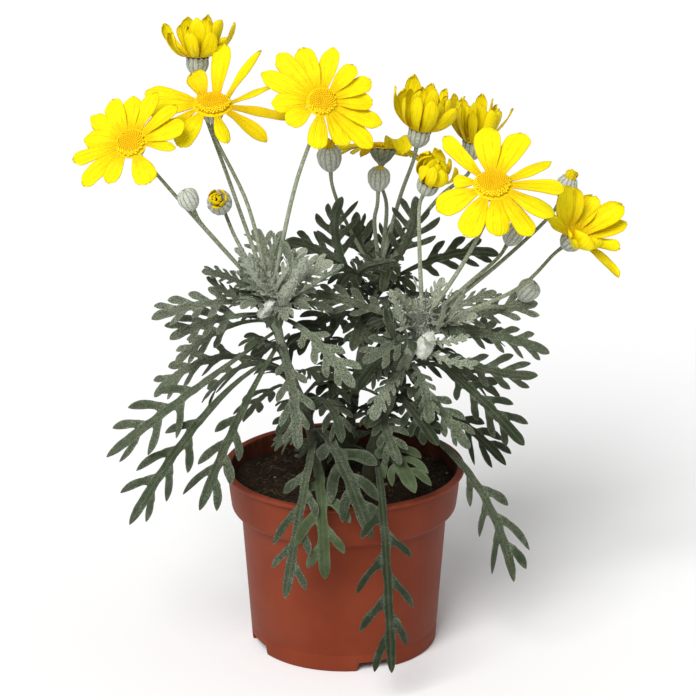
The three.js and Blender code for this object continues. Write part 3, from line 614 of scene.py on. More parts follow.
# Each leaf: its place on the stem, the middle and the end of its rib, the count and the reach of its
# fingers, and how far it is turned to the front. Some have values of their own: "petiole" is the
# share of the length that is bare, "scale" the width of the blade, and "youth" how felted it is
leaves = {
    "left": {
        "broad": [
            (0.98, (-52, -36, 200), (-67, -45, 207), 7, 5, 55),
            (0.94, (-62, -38, 189), (-91, -50, 185), 7, 7.5, 35),
            (0.9, (-60, -36, 180), (-83, -42, 172), 7, 7, 35),
            (0.85, (-58, -20, 170), (-82, -18, 151), 7, 7, 40),
            (0.72, (-25, -44, 150), (-22, -52, 120), 7, 7, 0, {"petiole": 0.2}),
            (0.88, (-16, -45, 175), (5, -60, 154), 7, 7, 40, {"youth": 0.26}),
            (0.99, (-34, -28, 206), (-29, -28, 222), 6, 6.5, -70),
            (0.99, (-27, -34, 203), (-18, -36, 216), 5, 6.5, -65),
            (0.97, (-42, -34, 200), (-47, -41, 212), 5, 4.5, -45),
            (0.98, (-44, -25, 203), (-52, -27, 213), 5, 4.5, 60),
            (0.95, (-20, -24, 197), (-5, -18, 203), 6, 6, 40),
            (0.44, (-8, -27, 134), (-1, -44, 120), 7, 7.5, 0),
            (0.78, (-48, 6, 178), (-62, 34, 170), 7, 7.5, 0),
            (0.58, (-62, -6, 150), (-94, 4, 126), 7, 8, 45),
            (0.92, (-38, -2, 200), (-44, 20, 208), 6, 7, 10),
        ],
        "lax": [
            (0.8, (-68, -38, 148), (-114, -50, 115), 6, 15, 40),
            (0.66, (-62, -44, 140), (-103, -60, 84), 6, 15, 40),
            (0.74, (-50, -50, 136), (-69, -64, 93), 6, 14, 55),
            (0.24, (-17, -56, 112), (-28, -80, 54), 6, 13, 0, {"youth": 0.16}),
            (0.2, (-11, -62, 101), (-9, -75, 62), 5, 13, 0, {"youth": 0, "scale": 1.2}),
            (0.3, (-5, -46, 119), (13, -77, 84), 6, 14, 10, {"petiole": 0.36, "scale": 1.4, "youth": 0.34}),
            (0.5, (-45, 14, 140), (-72, 34, 112), 5, 12, 40),
            (0.36, (-30, 28, 124), (-52, 60, 92), 5, 13, 0),
        ],
    },
    "centre": {
        "broad": [
            (0.8, (-3, 20, 199), (-1, 12, 227), 7, 9.5, -40, {"petiole": 0.4}),
            (0.96, (8, 31, 197), (6, 36, 212), 5, 6.5, 50),
            (0.95, (12, 44, 188), (9, 54, 200), 5, 6.5, 0),
            (0.98, (22, 36, 194), (25, 40, 206), 5, 6.5, 40),
            (0.92, (31, 18, 202), (35, 6, 229), 7, 11, -38),
            (0.9, (50, 32, 190), (77, 32, 191), 7, 7.5, 45),
            (0.88, (8, 8, 190), (25, -6, 200), 6, 6.5, -50),
            (0.7, (36, 52, 164), (58, 72, 146), 6, 8, 0),
            (0.8, (18, 60, 182), (22, 84, 172), 6, 7.5, 0),
            (0.85, (-12, 40, 190), (-30, 54, 190), 6, 7, 40),
            (0.75, (-9, 8, 166), (-22, -8, 152), 7, 7.5, 30),
            (0.62, (22, 8, 152), (29, -6, 138), 7, 7.5, 30),
            (0.5, (-4, 4, 138), (-4, -16, 126), 7, 7.5, 0),
            (0.7, (9, 2, 166), (4, -16, 157), 7, 7, 20),
            (0.3, (-14, 14, 118), (-34, 14, 102), 5, 8, 45),
            (0.32, (26, 18, 120), (48, 10, 104), 5, 8, 45),
            (0.84, (5, 10, 188), (-3, -6, 184), 7, 7, 30),
            (0.66, (18, 12, 170), (13, -8, 160), 6, 7, 20),
            (0.9, (21, 14, 193), (19, 0, 182), 6, 7, 20),
        ],
        "lax": [
            (0.6, (4, 60, 152), (-10, 84, 126), 6, 13, 0),
            (0.5, (-22, 50, 142), (-46, 74, 118), 6, 13, 0),
            (0.4, (24, 62, 130), (30, 86, 98), 6, 13, 0),
            (0.45, (42, 46, 132), (66, 58, 108), 6, 13, 45),
        ],
    },
    "right": {
        "broad": [
            (0.8, (62, -44, 146), (86, -58, 124), 7, 8.5, 45),
            (0.9, (70, -18, 166), (100, -16, 156), 7, 7.5, 45),
            (0.88, (66, -37, 156), (93, -40, 153), 7, 8, 40),
            (0.94, (66, -10, 174), (95, 4, 175), 7, 7, 45),
            (0.99, (58, -18, 182), (74, -12, 186), 6, 6, 30),
            (0.62, (46, -40, 136), (60, -50, 119), 7, 7, 30),
            (0.5, (34, -40, 134), (45, -53, 122), 7, 7, 30),
            (0.42, (20, -40, 127), (27, -58, 114), 7, 7, 20),
            (0.95, (22, -40, 168), (9, -50, 163), 5, 6.5, 40, {"petiole": 0.25}),
            (0.93, (9, -18, 181), (-16, -9, 184), 7, 7, 40),
            (1, (30, -32, 184), (25, -33, 195), 5, 5, -60),
            (1, (43, -23, 186), (48, -20, 196), 5, 5, 50),
            (0.99, (52, -30, 178), (64, -33, 181), 6, 6, 40),
            (0.72, (19, -30, 158), (7, -44, 147), 7, 7, 20),
            (0.6, (50, 4, 142), (78, 14, 122), 6, 8, 45),
            (0.8, (58, 4, 162), (86, 22, 148), 6, 7.5, 40),
        ],
        "lax": [
            (0.34, (24, -44, 115), (34, -64, 102), 6, 12, 10, {"youth": 0, "scale": 1.5}),
            (0.22, (18, -76, 104), (23, -84, 17), 7, 16, 0, {"youth": 0.11}),
            (0.4, (60, -36, 102), (83, -48, 49), 6, 16, 30),
            (0.4, (48, -12, 124), (80, -12, 96), 6, 13, 45),
        ],
    },
}

# Broad leaves have short round fingers close together, lax ones long blunt fingers set apart, and
# young ones fine close teeth. "bare" is how many quarters of a step lie before the root of a finger,
# and "point" goes from a round end to a tapered one
leafKinds = {
    "broad": {"petiole": 0.34, "halfWidths": (1.4, 2.7), "bare": 2, "finger": 1.8, "angles": (52, 29),
              "point": 0.52, "rows": 9, "across": 7, "fill": 0.93, "long": 1.32},
    "lax": {"petiole": 0.42, "halfWidths": (1.9, 2.5), "bare": 4, "finger": 2.05, "angles": (43, 27),
            "point": 0.62, "rows": 11, "across": 7, "fill": 0.98, "long": 1.16},
    "young": {"petiole": 0.14, "halfWidths": (0.8, 2.0), "bare": 2, "finger": 0.75, "angles": (46, 24),
              "point": 0.6, "rows": 5, "across": 5, "fill": 0.8, "long": 1.25},
}
leafForm = {
    "petioleHalf": 1.1, "petioleSteps": 7, "fold": 14.0, "thin": 0.2, "ribDepth": 0.5, "groove": 0.22,
    "droop": 0.14,
}


class Rib:
    # The curve of a leaf's rib, with its sideways and upward directions at even steps
    def __init__(self, root, over, tip, face):
        root, over, tip = (np.array(p, float) for p in (root, over, tip))
        pull = 2 * over - (root + tip) / 2
        t = np.linspace(0, 1, 160)[:, None]
        self.curve = (1 - t) ** 2 * root + 2 * t * (1 - t) * pull + t ** 2 * tip
        self.ahead = unit(2 * (1 - t) * (pull - root) + 2 * t * (tip - pull))
        self.run = runLength(self.curve)
        self.length = self.run[-1]
        heading = unit((tip - root) * [1, 1, 0])
        side = np.tile([heading[1], -heading[0], 0], (len(t), 1))
        up = unit(np.cross(side, self.ahead))
        turn = math.radians(face if heading[0] > 0 else -face) * np.minimum(1, 2.5 * self.run / self.length)
        self.side, self.normal = turned(side, self.ahead, turn), turned(up, self.ahead, turn)

    def read(self, table, along):
        return np.stack([np.interp(along, self.run, axis) for axis in table.T], axis=1)

    def place(self, along, across, lift):
        excess = np.maximum(along - self.length, 0)[:, None]
        side, normal = self.read(self.side, along), self.read(self.normal, along)
        wide, high = around(1, math.radians(leafForm["fold"]))
        bend = np.sqrt(across ** 2 + 1) - 1
        points = (self.read(self.curve, along) + self.ahead[-1] * excess
                  + side * (across * wide)[:, None] + normal * (bend * high + lift)[:, None])
        return points, normal


def roundEnd(v, taper, power):
    # How much of its width a strip still has at v, when it starts to close at taper
    return max(0.0, 1 - (max(0.0, v - taper) / (1 - taper)) ** 2) ** power


def fingerHalf(v, half, base, length, point):
    # Half the width of a finger at a share of its length: flared at its root, round or tapered at its end
    taper = mixed(max(0.45, 1 - 1.15 * half / length), 0.4, point)
    end = roundEnd(v, taper, mixed(0.5, 0.85, point))
    flare = (base - 0.84 * half) * max(0.0, 1 - v / 0.26) ** 2
    return max(0.1, half * end * mixed(0.84, 1.05, min(1, 1.6 * v)) + flare)


def bladeColumns(k, start, room, fingers, reach, scale):
    # Stations along a leaf: the distance along it, and the half width on either side of the rib
    def halfWidth(share):
        return mixed(*k["halfWidths"], math.sin(math.pi / 2 * share)) * scale

    stalk, steps = leafForm["petioleSteps"], 4 * (fingers + 1)
    foot = leafForm["petioleHalf"] * min(1, scale)
    stations = [(start * c / stalk, mixed(foot, halfWidth(0), (c / stalk) ** 3)) for c in range(stalk)]
    stations += [(start + room / (fingers + 1) * c / 4, halfWidth(c / steps)) for c in range(steps + 1)]
    taper = mixed(0.35, 0.1, k["point"])
    for v in (0.16, 0.34, 0.52, 0.68, 0.81, 0.91, 0.97, 1):
        end = roundEnd(v, taper, mixed(0.5, 0.9, k["point"]))
        stations.append((start + room + 0.8 * reach * v, max(0.1, halfWidth(1) * end * mixed(1, 0.92, v))))
    columns = [[along, half, half] for along, half in stations]
    for finger in range(fingers):  # the edge is hollow between two fingers
        for c in range(1, k["bare"]):
            columns[stalk + 4 * finger + c][1 + finger % 2] *= 1 - 0.16 * math.sin(math.pi * c / k["bare"])
    return columns


def cutLeaf(rib, kind, fingers, reach, rng, youth, scale=1.0, petiole=None):
    # A leaf cut towards the rib: a strip along the rib, with a finger on either side in turn
    form, k = leafForm, leafKinds[kind]
    across, span = k["across"], 8 - k["bare"]
    start = rib.length * (petiole or k["petiole"])
    room = rib.length - 0.8 * reach - start
    step = room / (fingers + 1)
    columns = bladeColumns(k, start, room, fingers, reach, scale)
    wave = rng.uniform(0, 6)

    flat, looks = [], []  # looks: closeness to the rib, closeness to the edge
    for along, plus, minus in columns:
        for u in np.linspace(-1, 1, across):
            y = u * (plus if u > 0 else minus)
            lift = 0.3 * math.sin(0.8 * along + wave) * (y / 3) ** 2
            flat.append((along, y, lift - form["groove"] * scale * math.exp(-(y / 0.6) ** 2)))
            looks.append((math.exp(-(y / 0.75) ** 2), u ** 4))
    faces = gridFaces(len(columns), across)
    for finger in range(fingers):
        side = -1 if finger % 2 else 1
        share = finger / max(1, fingers - 1)
        long = reach * k["long"] * (0.6 + 0.4 * math.sin(math.pi * mixed(0.15, 0.85, share)))
        long *= rng.uniform(0.76, 1.16)
        twist = rng.uniform(-0.55, 0.55)
        angle = math.radians(mixed(*k["angles"], share) + rng.uniform(-9, 9))
        first = form["petioleSteps"] + 4 * finger + k["bare"]
        last = [across * (first + c) + (across - 1 if side > 0 else 0) for c in range(span + 1)]
        base = step * span / 8
        half = min(k["finger"] * max(1, scale), k["fill"] * step * math.sin(angle)) * rng.uniform(0.9, 1.06)
        root = np.array([columns[first][0] + base, side * columns[first + span // 2][1 if side > 0 else 2]])
        way = long * np.array([math.cos(angle), side * math.sin(angle)])
        tip, bend = root + way, root + way * [0.25, 0.61]
        lift = rng.uniform(-0.8, 1.0) * 0.17 * long
        for j in range(1, k["rows"] + 1):
            v = 1 - (1 - j / k["rows"]) ** 1.35
            spot = (1 - v) ** 2 * root + 2 * v * (1 - v) * bend + v ** 2 * tip
            ahead = unit((1 - v) * (bend - root) + v * (tip - bend))
            halfHere = fingerHalf(v, half, base, long, k["point"])
            row = list(range(len(flat), len(flat) + span + 1))
            for u in np.linspace(-1, 1, span + 1):
                z = lift * v * v - form["droop"] * long * v ** 2.5 + (twist - 0.12 * u) * u * halfHere * v
                z -= 0.16 * scale * math.exp(-(u / 0.35) ** 2) * (1 - v)
                aside = u * halfHere
                flat.append((spot[0] + aside * abs(ahead[1]), spot[1] - side * aside * ahead[0], z))
                looks.append((0.6 * math.exp(-(u / 0.3) ** 2) * (1 - 0.8 * v), max(u ** 4, v ** 12)))
            for c in range(span):
                face = (last[c], row[c], row[c + 1], last[c + 1])
                faces.append(face if side > 0 else face[::-1])
            last = row
    flat, looks = np.array(flat), np.array(looks)
    points, normals = rib.place(*flat.T)
    onRib = np.exp(-(flat[:, 1:2] / 0.8) ** 2) * (flat[:, :1] < start + room)
    thin = form["thin"] * mixed(0.75, 1, min(1, scale))
    body, faces = thicken(points, normals, thin, thin + form["ribDepth"] * min(1, scale) * onRib, faces)
    nearRib, nearEdge = np.tile(looks, (2, 1)).T
    draw = 0.45 * rng.random()
    felted = np.clip(youth * rng.uniform(0.6, 1.4), 0, 1)
    return body, faces, (felted, nearRib, np.repeat([draw, 0.5 + draw], len(flat)), nearEdge)


# Flower heads

def evenRays(count, reach, lift, start):
    return [(start + 360 * k / count + 4 * math.sin(5 * k + start),
             reach * (1 + 0.07 * math.sin(3 * k + start)), lift + 2 * math.sin(4 * k + start))
            for k in range(count)]


# Each head: its stem, the stalk's place on it and the point that the stalk passes, the head's own
# place and the way that it faces. Blooms have rays of (clock degrees, reach, lift), and buds a width.
# "pale" is how felted the stalk is, and "funnel" the rim of a slender cup. "wide" widens the rays and
# "curl" turns them up. In a half-open head "bowl" is how low they start, "inner" how many lean over
# the disc, and "ruffle" crumples those. "closed" narrows a bud, "tuft" is how far its rays stand out
# of it, and "ragged" spreads them. The warm key turns rays orange, as painted shade
heads = {
    "bloom_far_left": {
        "stem": "left", "from": 0.97, "via": (-68, -36, 228), "head": (-99, -43, 269),
        "faces": (-0.25, -0.74, 0.62), "disc": 7, "rayWidth": 9.6, "curl": -14,
        "rays": [(345, 25, 5), (12, 28, 7), (40, 28, 5), (63, 27, 5, {"wide": 1.2}),
                 (87, 22, 2, {"wide": 0.55}),
                 (146, 22, -8, {"wide": 1.2}), (202, 22, -6, {"wide": 0.8}), (226, 31, -4, {"wide": 0.85}),
                 (249, 31, -2, {"wide": 0.72}), (273, 25, 0, {"blunt": 0}), (297, 27, 2), (321, 26, 4)],
    },
    "bloom_left_high": {
        "stem": "left", "from": 1, "via": (-46, -23, 234), "head": (-62, -19, 281),
        "faces": (0, -0.36, 0.93),
        "disc": 8.8, "rayWidth": 9, "wide": 1.2, "curl": -10,
        # Some rays are turned orange as painted shade, where they lie in shade
        "rays": [(10, 34, 46), (48, 37, 42, {"wide": 0.8}), (78, 34, 24, {"wide": 0.72}),
                 (101, 38, -4, {"wide": 1.1, "warm": 0.35, "channel": 0.1}),
                 (126, 34, -10, {"wide": 1.1, "warm": 0.3, "channel": 0.1}), (165, 26, -12, {"wide": 0.8}),
                 (214, 30, -12), (242, 30, -14, {"wide": 0.7}), (266, 32, 0), (289, 34, 5),
                 (330, 22, 34, {"warm": 0.25})],
    },
    "bloom_left_cup": {
        "stem": "left", "from": 0.99, "via": (-55, -6, 240), "head": (-70, 8, 298),
        "faces": (0.02, 0.06, 1),
        "disc": 4.4, "rayWidth": 8.4, "curl": 12, "bowl": 30, "inner": 5, "wide": 0.95,
        "rays": evenRays(10, 24, 46, 8),
    },
    "bloom_middle": {
        "stem": "left", "from": 1, "via": (-22, -30, 248), "head": (-10, -32, 286),
        "faces": (0.06, -0.8, 0.6), "pale": 1,
        "disc": 6.8, "rayWidth": 9.6, "curl": -12,
        "rays": [(342, 29, 9), (10, 28, 9), (42, 24, 7), (67, 26, 5), (90, 24, 3), (112, 30, 0),
                 (133, 32, -4), (155, 24, -6), (190, 23, -8), (238, 20, 2), (270, 24, 5), (296, 32, 6),
                 (319, 32, 8)],
    },
    "bloom_middle_back": {
        "stem": "centre", "from": 1, "via": (21, 30, 217), "head": (19, 28, 247),
        "faces": (0.08, 0.2, 0.98), "pale": 1,
        "funnel": 6.8, "disc": 6, "rayWidth": 8.5, "wide": 1.15, "curl": -42,
        # The last ray, short and curled under, is turned orange as painted shade
        "rays": [(262, 27, 4, {"curl": -28}), (292, 25, 4), (325, 25, 4), (358, 25, 2), (35, 24, 2),
                 (72, 25, 0), (104, 24, 0, {"curl": -48}),
                 (156, 30, 70, {"curl": -150, "wide": 1.3, "roll": 0}),
                 (228, 16, -8, {"curl": -50, "wide": 0.5, "warm": 0.6})],
    },
    "bloom_middle_cup": {
        "stem": "centre", "from": 1, "via": (28, 20, 226), "head": (37, 12, 261),
        "faces": (0.2, -0.05, 1), "pale": 0.7,
        "disc": 5, "rayWidth": 8.6, "curl": 16, "inner": 9, "bowl": 26, "wide": 0.86, "warmth": 0.05,
        "rays": evenRays(11, 28, 58, 3),
    },
    "bloom_opening": {
        "stem": "right", "from": 1, "via": (36, -27, 216), "head": (41, -27, 247),
        "faces": (0.3, -0.4, 0.86), "pale": 0.8,
        "disc": 4.4, "rayWidth": 7.6, "curl": 75, "inner": 18, "ruffle": True,
        "bowl": 22, "wide": 0.9, "warmth": 0.04,
        "rays": evenRays(8, 19, 48, 6),
    },
    "bloom_right_cup": {
        "stem": "centre", "from": 0.97, "via": (48, 37, 220), "head": (64, 40, 247), "faces": (0.12, 0, 1),
        "disc": 4.6, "rayWidth": 8.4, "curl": 14, "inner": 8, "bowl": 14, "wide": 0.8, "warmth": 0.05,
        "rays": evenRays(10, 26, 58, 9),
    },
    "bloom_right_front": {
        "stem": "right", "from": 1, "via": (59, -35, 212), "head": (70, -41, 248),
        "faces": (0, -0.55, 0.84),
        "disc": 8.6, "rayWidth": 12, "curl": -12,
        "rays": [(354, 33, 20, {"wide": 1.1}), (26, 33, 18, {"wide": 1.1}), (66, 31, 10, {"wide": 0.66}),
                 (90, 34, 2, {"wide": 0.85}), (119, 33, -4), (146, 32, -8), (174, 28, -8), (208, 31, -8),
                 (244, 30, -2), (280, 19, 6, {"wide": 0.6}), (316, 35, 14, {"wide": 0.66, "twist": 24})],
    },
    "bloom_far_right": {
        "stem": "right", "from": 0.96, "via": (84, -24, 192), "head": (111, -22, 217),
        "faces": (0.6, -0.45, 0.66), "disc": 5, "rayWidth": 10, "curl": -8, "bowl": 13, "wide": 1.2,
        "rays": [(8, 26, 40), (50, 27, 40), (82, 28, 42, {"wide": 1.2}),
                 (106, 29, 40, {"lift": 28, "curl": 12}),
                 (140, 23, 40, {"wide": 1.1, "lift": 24}),
                 (160, 30, 40, {"lift": 8, "curl": -10, "wide": 1.15, "blunt": 0.6}),
                 (196, 17, 50, {"curl": 80}), (230, 17, 50, {"curl": 90}), (262, 22, 41),
                 (300, 27, 41, {"lift": 25, "curl": -10, "wide": 0.7}), (335, 30, 38)],
    },
    "bud_left_round": {"stem": "left", "from": 0.96, "via": (-61, -38, 221), "head": (-73, -42, 242),
                       "faces": (-0.4, -0.1, 0.9), "bud": 10},
    "bud_left_open": {"stem": "left", "from": 0.98, "via": (-52, -22, 217), "head": (-59, -25, 235),
                      "faces": (-0.1, -0.86, 0.5), "bud": 12, "tuft": 4,
                      "ragged": 1.2, "warmth": 0.12},
    "bud_middle_open": {"stem": "centre", "from": 0.94, "via": (0, 23, 213), "head": (-7, 15, 246),

        "faces": (-0.08, -0.1, 1), "bud": 12, "tuft": 5, "pale": 1, "closed": 0.8, "warmth": 0.4},
    "bud_middle_round": {"stem": "centre", "from": 0.99, "via": (15, 20, 212), "head": (17, 10, 237),
                         "faces": (0.05, 0, 1), "bud": 11, "tuft": 1.8, "pale": 1, "closed": 0.62},
    "bud_right_open": {"stem": "right", "from": 0.98, "via": (79, -3, 201), "head": (108, 12, 232),
                       "faces": (0.4, 0, 0.92), "bud": 10.5, "tuft": 4},
    "bud_right_low": {"stem": "right", "from": 1, "via": (60, -15, 191), "head": (82, -5, 213),
                      "faces": (0.5, 0.1, 0.8), "bud": 10, "tuft": 6},
    "bud_right_round": {"stem": "right", "from": 0.93, "via": (70, -17, 180), "head": (90, 0, 183),
                        "faces": (0.6, -0.2, 0.75), "bud": 11},
}

headForm = {
    "stalkRadii": (1.12, 0.84), "stalkSides": 12, "stalkSteps": 26, "cupHeight": 8.5, "cupRim": 5.4,
    "cup": ((2.4, -8.9), (4.2, -7.1), (5.1, -5.3), (5.4, -3.6), (5.3, -2.0)),
    "funnel": ((1.9, -7.8), (3.2, -6.6), (4.6, -5.0), (5.7, -3.4), (6.4, -2.0)),
    "bracts": 13, "hubMargin": 0.5, "rollFlat": 11.0, "rollCupped": 20.0, "cuppedLift": 30,
    "rayThick": 0.17, "rayRows": 16, "rayColumns": 9,
}


class HeadAxes:
    # A head's own axes: X to the right and Y upward in the plane of the flower, Z out of it
    def __init__(self, head):
        self.axis = unit(head["faces"])
        reference = np.array([0, 1, 0] if abs(self.axis[2]) > 0.97 else [0, 0, 1])
        upward = unit(reference - self.axis * np.dot(reference, self.axis))
        self.turn = np.array([np.cross(upward, self.axis), upward, self.axis])
        self.centre = np.array(head["head"], float)

    def place(self, points):
        return np.asarray(points, float) @ self.turn + self.centre


def cupDepth(head):
    return head["bud"] * 0.62 if "bud" in head else headForm["cupHeight"] + 1


def addStalk(growth, head, curve):
    f, axes = headForm, HeadAxes(head)
    top = axes.centre + axes.axis * (0.8 - cupDepth(head))
    path = StemPath([curve.at(head["from"]), head["via"], top - axes.axis * 7, top])
    share = np.linspace(0, 1, f["stalkSteps"] + 1)
    radii = mixed(*f["stalkRadii"], share) * (1 + 0.35 * np.clip((share - 0.94) / 0.06, 0, 1))
    felted = mixed(0.75, 0.6 * head.get("pale", 0.15), share ** 1.5)
    body, faces = tube(path.even(f["stalkSteps"]), radii, f["stalkSides"], 0.05, 6)
    growth.add(body, faces, (np.repeat(felted, f["stalkSides"]), 0, 0.3, 0), 1)


def addCup(growth, head, rng):
    # The felted cup of grown-together bracts: narrow ribs with grooves between them, each ending in a
    # point.
    # The grooves are painted dark as shade. A bud's bracts lean over its mouth
    depth, neck = cupDepth(head), headForm["stalkRadii"][1]
    if "bud" in head:
        size, felted, toothed = head["bud"], 0.97, 0.8
        mouth = 0.34 * head.get("closed", 1) if "tuft" in head else 0.1
        shape = ((0.36, -0.42), (0.46, -0.22), (0.5, 0.02), (0.485, 0.2), (0.42, 0.33),
                 (mixed(0.42, mouth, 0.5), 0.42), (mouth, 0.46))
        line = [(size * 0.2, 0.5 - depth)] + [(size * wide, size * high) for wide, high in shape]
    else:
        kind, felted, toothed = ("funnel", 0.55, 1.3) if "funnel" in head else ("cup", 0.93, 1.3)
        rim = head.get("funnel", headForm["cupRim"])
        line = [*headForm[kind], (rim, -0.9), (rim + 0.2, -0.2)]
    line = np.array([(neck, -depth), *line])
    shares = np.linspace(0, 1, 22)
    radii, heights = (np.interp(shares * (len(line) - 1), range(len(line)), axis) for axis in line.T)
    bracts = headForm["bracts"]
    turns = circle(6 * bracts)
    wave = np.abs(((turns * bracts / (2 * math.pi)) % 1) - 0.5) * 2  # 0 on a rib's ridge, 1 in a groove
    shift = rng.uniform(0, 50)
    rows, grooves = [], []
    for share, radius, height in zip(shares, radii, heights):
        dents = [1 + 0.05 * lumps.noise((*around(2.2, t), 0.45 * height + shift)) for t in turns]
        reach = radius * (1 + 0.05 * min(1, share * 3) * (0.5 - wave ** 3)) * dents
        rows.append(ring(reach, turns, height + max(0, share - 0.8) / 0.2 * toothed * (0.5 - wave)))
        # painted shade, darkest in the grooves
        grooves.append(wave ** 4 * min(1, share * 2.5) * 0.8)
    body = HeadAxes(head).place(np.concatenate(rows))
    growth.add(body, barrelFaces(len(rows), len(turns)), (felted, 0, 0.3, np.concatenate(grooves)), 1)


def rayWidths(v, blunt):
    # The width of a ray along its length: narrow at its root, widest near its round end
    body = np.interp(v, (0, 0.15, 0.35, 0.55, 0.75, 1), (0.38, 0.58, 0.85, 0.98, 1, 1))
    start = mixed(0.5, 0.8, blunt)
    end = np.clip((v - start) / (1 - start), 0, 1)
    return body * np.maximum(0.2, (1 - end ** 2.3) ** 0.46)


def addRay(growth, head, axes, ray, rng):
    # One ray: it leaves the hub's rim at its lift and curls on to its end
    f = headForm
    hub = (head["disc"] + f["hubMargin"]) * ray.get("hub", 1)
    length = ray["reach"] - hub
    rows, columns = f["rayRows"], f["rayColumns"]
    half = head["rayWidth"] / 2 * ray["wide"]
    v = np.repeat(1 - (1 - np.linspace(0, 1, rows)) ** 1.5, columns)
    u = np.tile(np.linspace(-1, 1, columns), rows)
    ends = -0.03 * u ** 2 - ray["notch"] * np.exp(-(u / 0.34) ** 2) + 0.012 * np.cos(3 * math.pi * u)
    along = length * (v + ends * np.clip((v - 0.8) / 0.2, 0, 1))
    across = u * half * rayWidths(v, ray["blunt"]) + length * ray["sway"] * v ** 2
    grooves = np.exp(-((np.abs(u) - 0.36) / 0.13) ** 2) * np.clip(v * 4, 0, 1) * (1 - 0.6 * v)
    lifted = half * ray["channel"] * (u ** 2 - 0.3) * np.clip(v * 3, 0, 1) - 0.4 * grooves
    lifted += 0.42 * np.sin(7 * v + ray["wave"]) * u * np.clip(v * 2, 0, 1)
    angles = ("curl", "lift", "roll", "twist", "clock")
    curl, rise, roll, twist, clock = (math.radians(ray[key]) for key in angles)
    slope = rise + curl * along / length
    out = hub + length / curl * (np.sin(slope) - math.sin(rise))
    high = ray.get("height", 0.35) + length / curl * (math.cos(rise) - np.cos(slope))
    roll = roll * np.clip(v * 5, 0, 1) + twist * v ** 2
    normal = np.stack([0 * slope, -np.sin(slope), np.cos(slope)], axis=1)
    points = np.stack([across * np.cos(roll), out, high], axis=1)
    points = points + normal * (across * np.sin(roll) + lifted)[:, None]
    addPetal(growth, axes, points, normal, -clock, f["rayThick"], gridFaces(rows, columns), (
        v, np.abs(u), 0.45 * rng.random() + np.array([[0], [0.5]]), ray.get("warm", 0)))


def addPetal(growth, axes, points, normals, turn, thick, faces, paint):
    # A sheet of equal thickness, turned about the head's axis. Its two sides can differ in their paint
    spin = spun(turn)
    body, faces = thicken(points @ spin, normals @ spin, thick, thick, faces)
    growth.add(axes.place(body), faces, [np.broadcast_to(part, (2, len(points))).ravel() for part in paint])


def openRay(head, clock, reach, lift, rng):
    cupped = lift > headForm["cuppedLift"]
    return {
        "clock": clock, "reach": reach, "lift": lift, "curl": head["curl"] * rng.uniform(0.7, 1.4),
        "wide": rng.uniform(0.92, 1.08) * head.get("wide", 1), "notch": rng.uniform(0.0, 0.035),
        "blunt": rng.uniform(0.05, 0.9), "sway": rng.uniform(-0.07, 0.07),
        "channel": rng.uniform(0.2, 0.36) if cupped else rng.uniform(-0.3, 0.16),
        "wave": rng.uniform(0, 6), "roll": headForm["rollCupped" if cupped else "rollFlat"],
        "twist": rng.uniform(-9, 9),
    }


def cuppedRay(head, clock, reach, lift, rng):
    # Rays of a half-open head leave it low, then turn up. Some overlap and others flare
    ray = openRay(head, clock, reach, lift, rng)
    ray.update(lift=lift - head["bowl"] + rng.uniform(-8, 8),
               curl=head["curl"] + 2 * head["bowl"] * rng.uniform(0.7, 1.25),
               wide=ray["wide"] * rng.uniform(0.85, 1.15), notch=rng.choice([0, 0.01, 0.05]),
               channel=rng.uniform(0.1, 0.45), blunt=rng.uniform(0.2, 0.6), twist=rng.uniform(-14, 14),
               reach=reach * rng.uniform(0.92, 1.08),
               # Some rays get an orange tint, and the head's orange painted shade is added to it
               warm=rng.choice([0, 0, 0.08]) + head.get("warmth", 0))
    return ray


def makeBloom(name, head, rng):
    axes, growth = HeadAxes(head), Growth()
    hub = head["disc"] + headForm["hubMargin"]
    profile = ((0.5, 0), (1, 0.05), (1.03, 0.35), (1, 0.65), (0.5, 0.7))
    rows = [ring(hub * share, circle(40), z) for share, z in profile]
    growth.add(axes.place(np.concatenate(rows)), barrelFaces(len(rows), 40), (0, 0, 0.2, 0))
    halfOpen = sum(ray[2] for ray in head["rays"]) / len(head["rays"]) > headForm["cuppedLift"]
    for clock, reach, lift, *own in head["rays"]:
        ray = (cuppedRay if halfOpen else openRay)(head, clock, reach, lift, rng)
        ray.update(*own)
        addRay(growth, head, axes, ray, rng)
    for k in range(head.get("inner", 0)):  # shorter rays that still lean over the disc
        ray = cuppedRay(head, 360 * (k + 0.5) / head["inner"] + rng.uniform(-14, 14),
                        head["rays"][0][1] * rng.uniform(0.72, 0.95), rng.uniform(62, 78), rng)
        ray.update(hub=rng.uniform(0.45, 0.85), height=0.9)
        if "ruffle" in head:
            ray.update(wide=0.6, twist=rng.uniform(-70, 70), roll=rng.uniform(-40, 40), channel=0.5)
        addRay(growth, head, axes, ray, rng)
    growth.piece(name + "_petals", [rayMaterial], "ray_yellow", name + "_rays", sharp=60)
    makeDisc(name, head, axes, rng)


discForm = {
    "spacing": 0.92, "base": 1.0, "floret": 0.47,
    "open": ((0.72, 0), (0.9, 0.5), (1.2, 0.86), (0.75, 1.02)),
    "closed": ((0.9, 0), (1.05, 0.5), (0.95, 0.8), (0.5, 1.0)),
}


